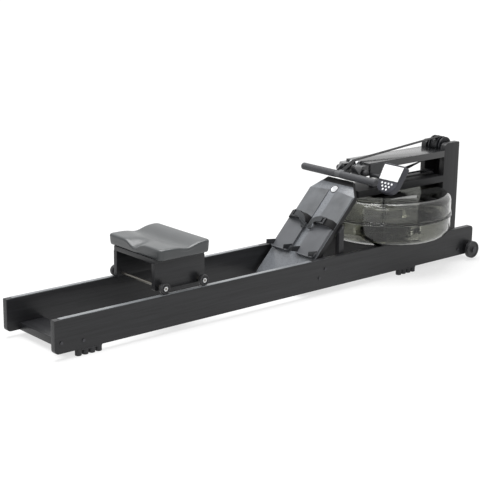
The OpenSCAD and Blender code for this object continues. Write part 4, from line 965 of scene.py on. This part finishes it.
# ---------------------------------------------------------------- rubber feet
FINGERS, FINGER_STEP, FINGER_R = 4, 27, 11.5
FINGER = [(0, 0), (9.5, 0), (11, 0.8), (FINGER_R, 2.5), (FINGER_R, 21), (0, 21)]
for side, sign in SIDES:
    y = sign * TRACK_MID
    for end, x0 in (("rear", 98), ("front", RAIL_LEN - 439)):
        x1 = x0 + FINGER_STEP * (FINGERS - 1)
        prism(f"foot_pad_{end}_{side}", rounded(x0 - FINGER_R, y - FINGER_R, x1 + FINGER_R,
                                                y + FINGER_R, (8, 8, 8, 8), 5),
              19, FOOT_H, flat, "rubber", "frame", ("rubber_feet",), edge=0.8)
        for k in range(FINGERS):
            lathe(f"finger_{end}_{side}_{k}", FINGER,
                  about("Z", (x0 + FINGER_STEP * k, y, 0)), "rubber", "frame",
                  ("rubber_feet",), turns=32)


# ---------------------------------------------------------------- world, floor and lamps
def for_the_eye(tree, light, shown, out):
    """Surroundings that camera, glossy and transmitted rays see in another way than light."""
    path = add(tree, "LightPath")
    either = add(tree, "Math", operation="MAXIMUM")
    anyof = add(tree, "Math", operation="MAXIMUM")
    join(tree, path.outputs["Is Camera Ray"], either.inputs[0])
    join(tree, path.outputs["Is Glossy Ray"], either.inputs[1])
    join(tree, either.outputs[0], anyof.inputs[0])
    join(tree, path.outputs["Is Transmission Ray"], anyof.inputs[1])
    mixed = add(tree, "MixShader")
    join(tree, anyof.outputs[0], mixed.inputs[0])
    join(tree, light.outputs[0], mixed.inputs[1])
    join(tree, shown.outputs[0], mixed.inputs[2])
    join(tree, mixed.outputs[0], out.inputs["Surface"])


scene = bpy.context.scene
scene.view_settings.view_transform = "Standard"
world = bpy.data.worlds.new("world")
scene.world = world
world.use_nodes = True
tree = world.node_tree
tree.nodes.clear()
out = tree.nodes.new("ShaderNodeOutputWorld")
lit = add(tree, "Background", Strength=0.36)
lit.inputs["Color"].default_value = (1, 1, 1, 1)
seen = add(tree, "Background", Strength=1.0)
seen.inputs["Color"].default_value = (1, 1, 1, 1)
for_the_eye(tree, lit, seen, out)

floor_mat = bpy.data.materials.new("floor")
floor_mat.use_nodes = True
tree = floor_mat.node_tree
tree.nodes.clear()
out = tree.nodes.new("ShaderNodeOutputMaterial")
speck = add(tree, "TexNoise", Scale=2.0)
join(tree, coords(tree), speck.inputs["Vector"])
paint = ramp(tree, speck.outputs["Fac"], [(0.3, (0.60, 0.60, 0.60)), (0.7, (0.62, 0.62, 0.62))])
matt = add(tree, "BsdfDiffuse")
join(tree, paint, matt.inputs["Color"])
pale = add(tree, "BsdfDiffuse")
pale.inputs["Color"].default_value = (0.9, 0.9, 0.9, 1)
glow = add(tree, "Emission", Strength=1.1)
radius = add(tree, "VectorMath", operation="LENGTH")
join(tree, coords(tree), radius.inputs[0])
reach = add(tree, "MapRange", interpolation_type="SMOOTHSTEP")
reach.inputs["From Min"].default_value = 1.7
reach.inputs["From Max"].default_value = 3.6
reach.inputs["To Min"].default_value = 0.62
reach.inputs["To Max"].default_value = 1.0
join(tree, radius.outputs["Value"], reach.inputs["Value"])
shown = add(tree, "MixShader")
join(tree, reach.outputs["Result"], shown.inputs[0])
join(tree, pale.outputs[0], shown.inputs[1])
join(tree, glow.outputs[0], shown.inputs[2])
for_the_eye(tree, matt, shown, out)
bpy.ops.mesh.primitive_plane_add(size=60, location=(0, 0, 0))
floor = bpy.context.object
floor.name = "floor"
floor.data.materials.append(floor_mat)


def lamp(name, at, aim, size, watts):
    data = bpy.data.lights.new(name, "AREA")
    data.shape = "RECTANGLE"
    data.size, data.size_y = size
    data.energy = watts
    obj = bpy.data.objects.new(name, data)
    obj.location = at
    obj.rotation_euler = (Vector(aim) - Vector(at)).to_track_quat("-Z", "Y").to_euler()
    scene.collection.objects.link(obj)


lamp("overhead", (-0.2, 0.3, 3.2), (0, 0, 0), (4.2, 2.6), 165)
lamp("front_left", (-2.6, -2.6, 2.2), (0.1, 0, 0.2), (1.8, 1.8), 26)
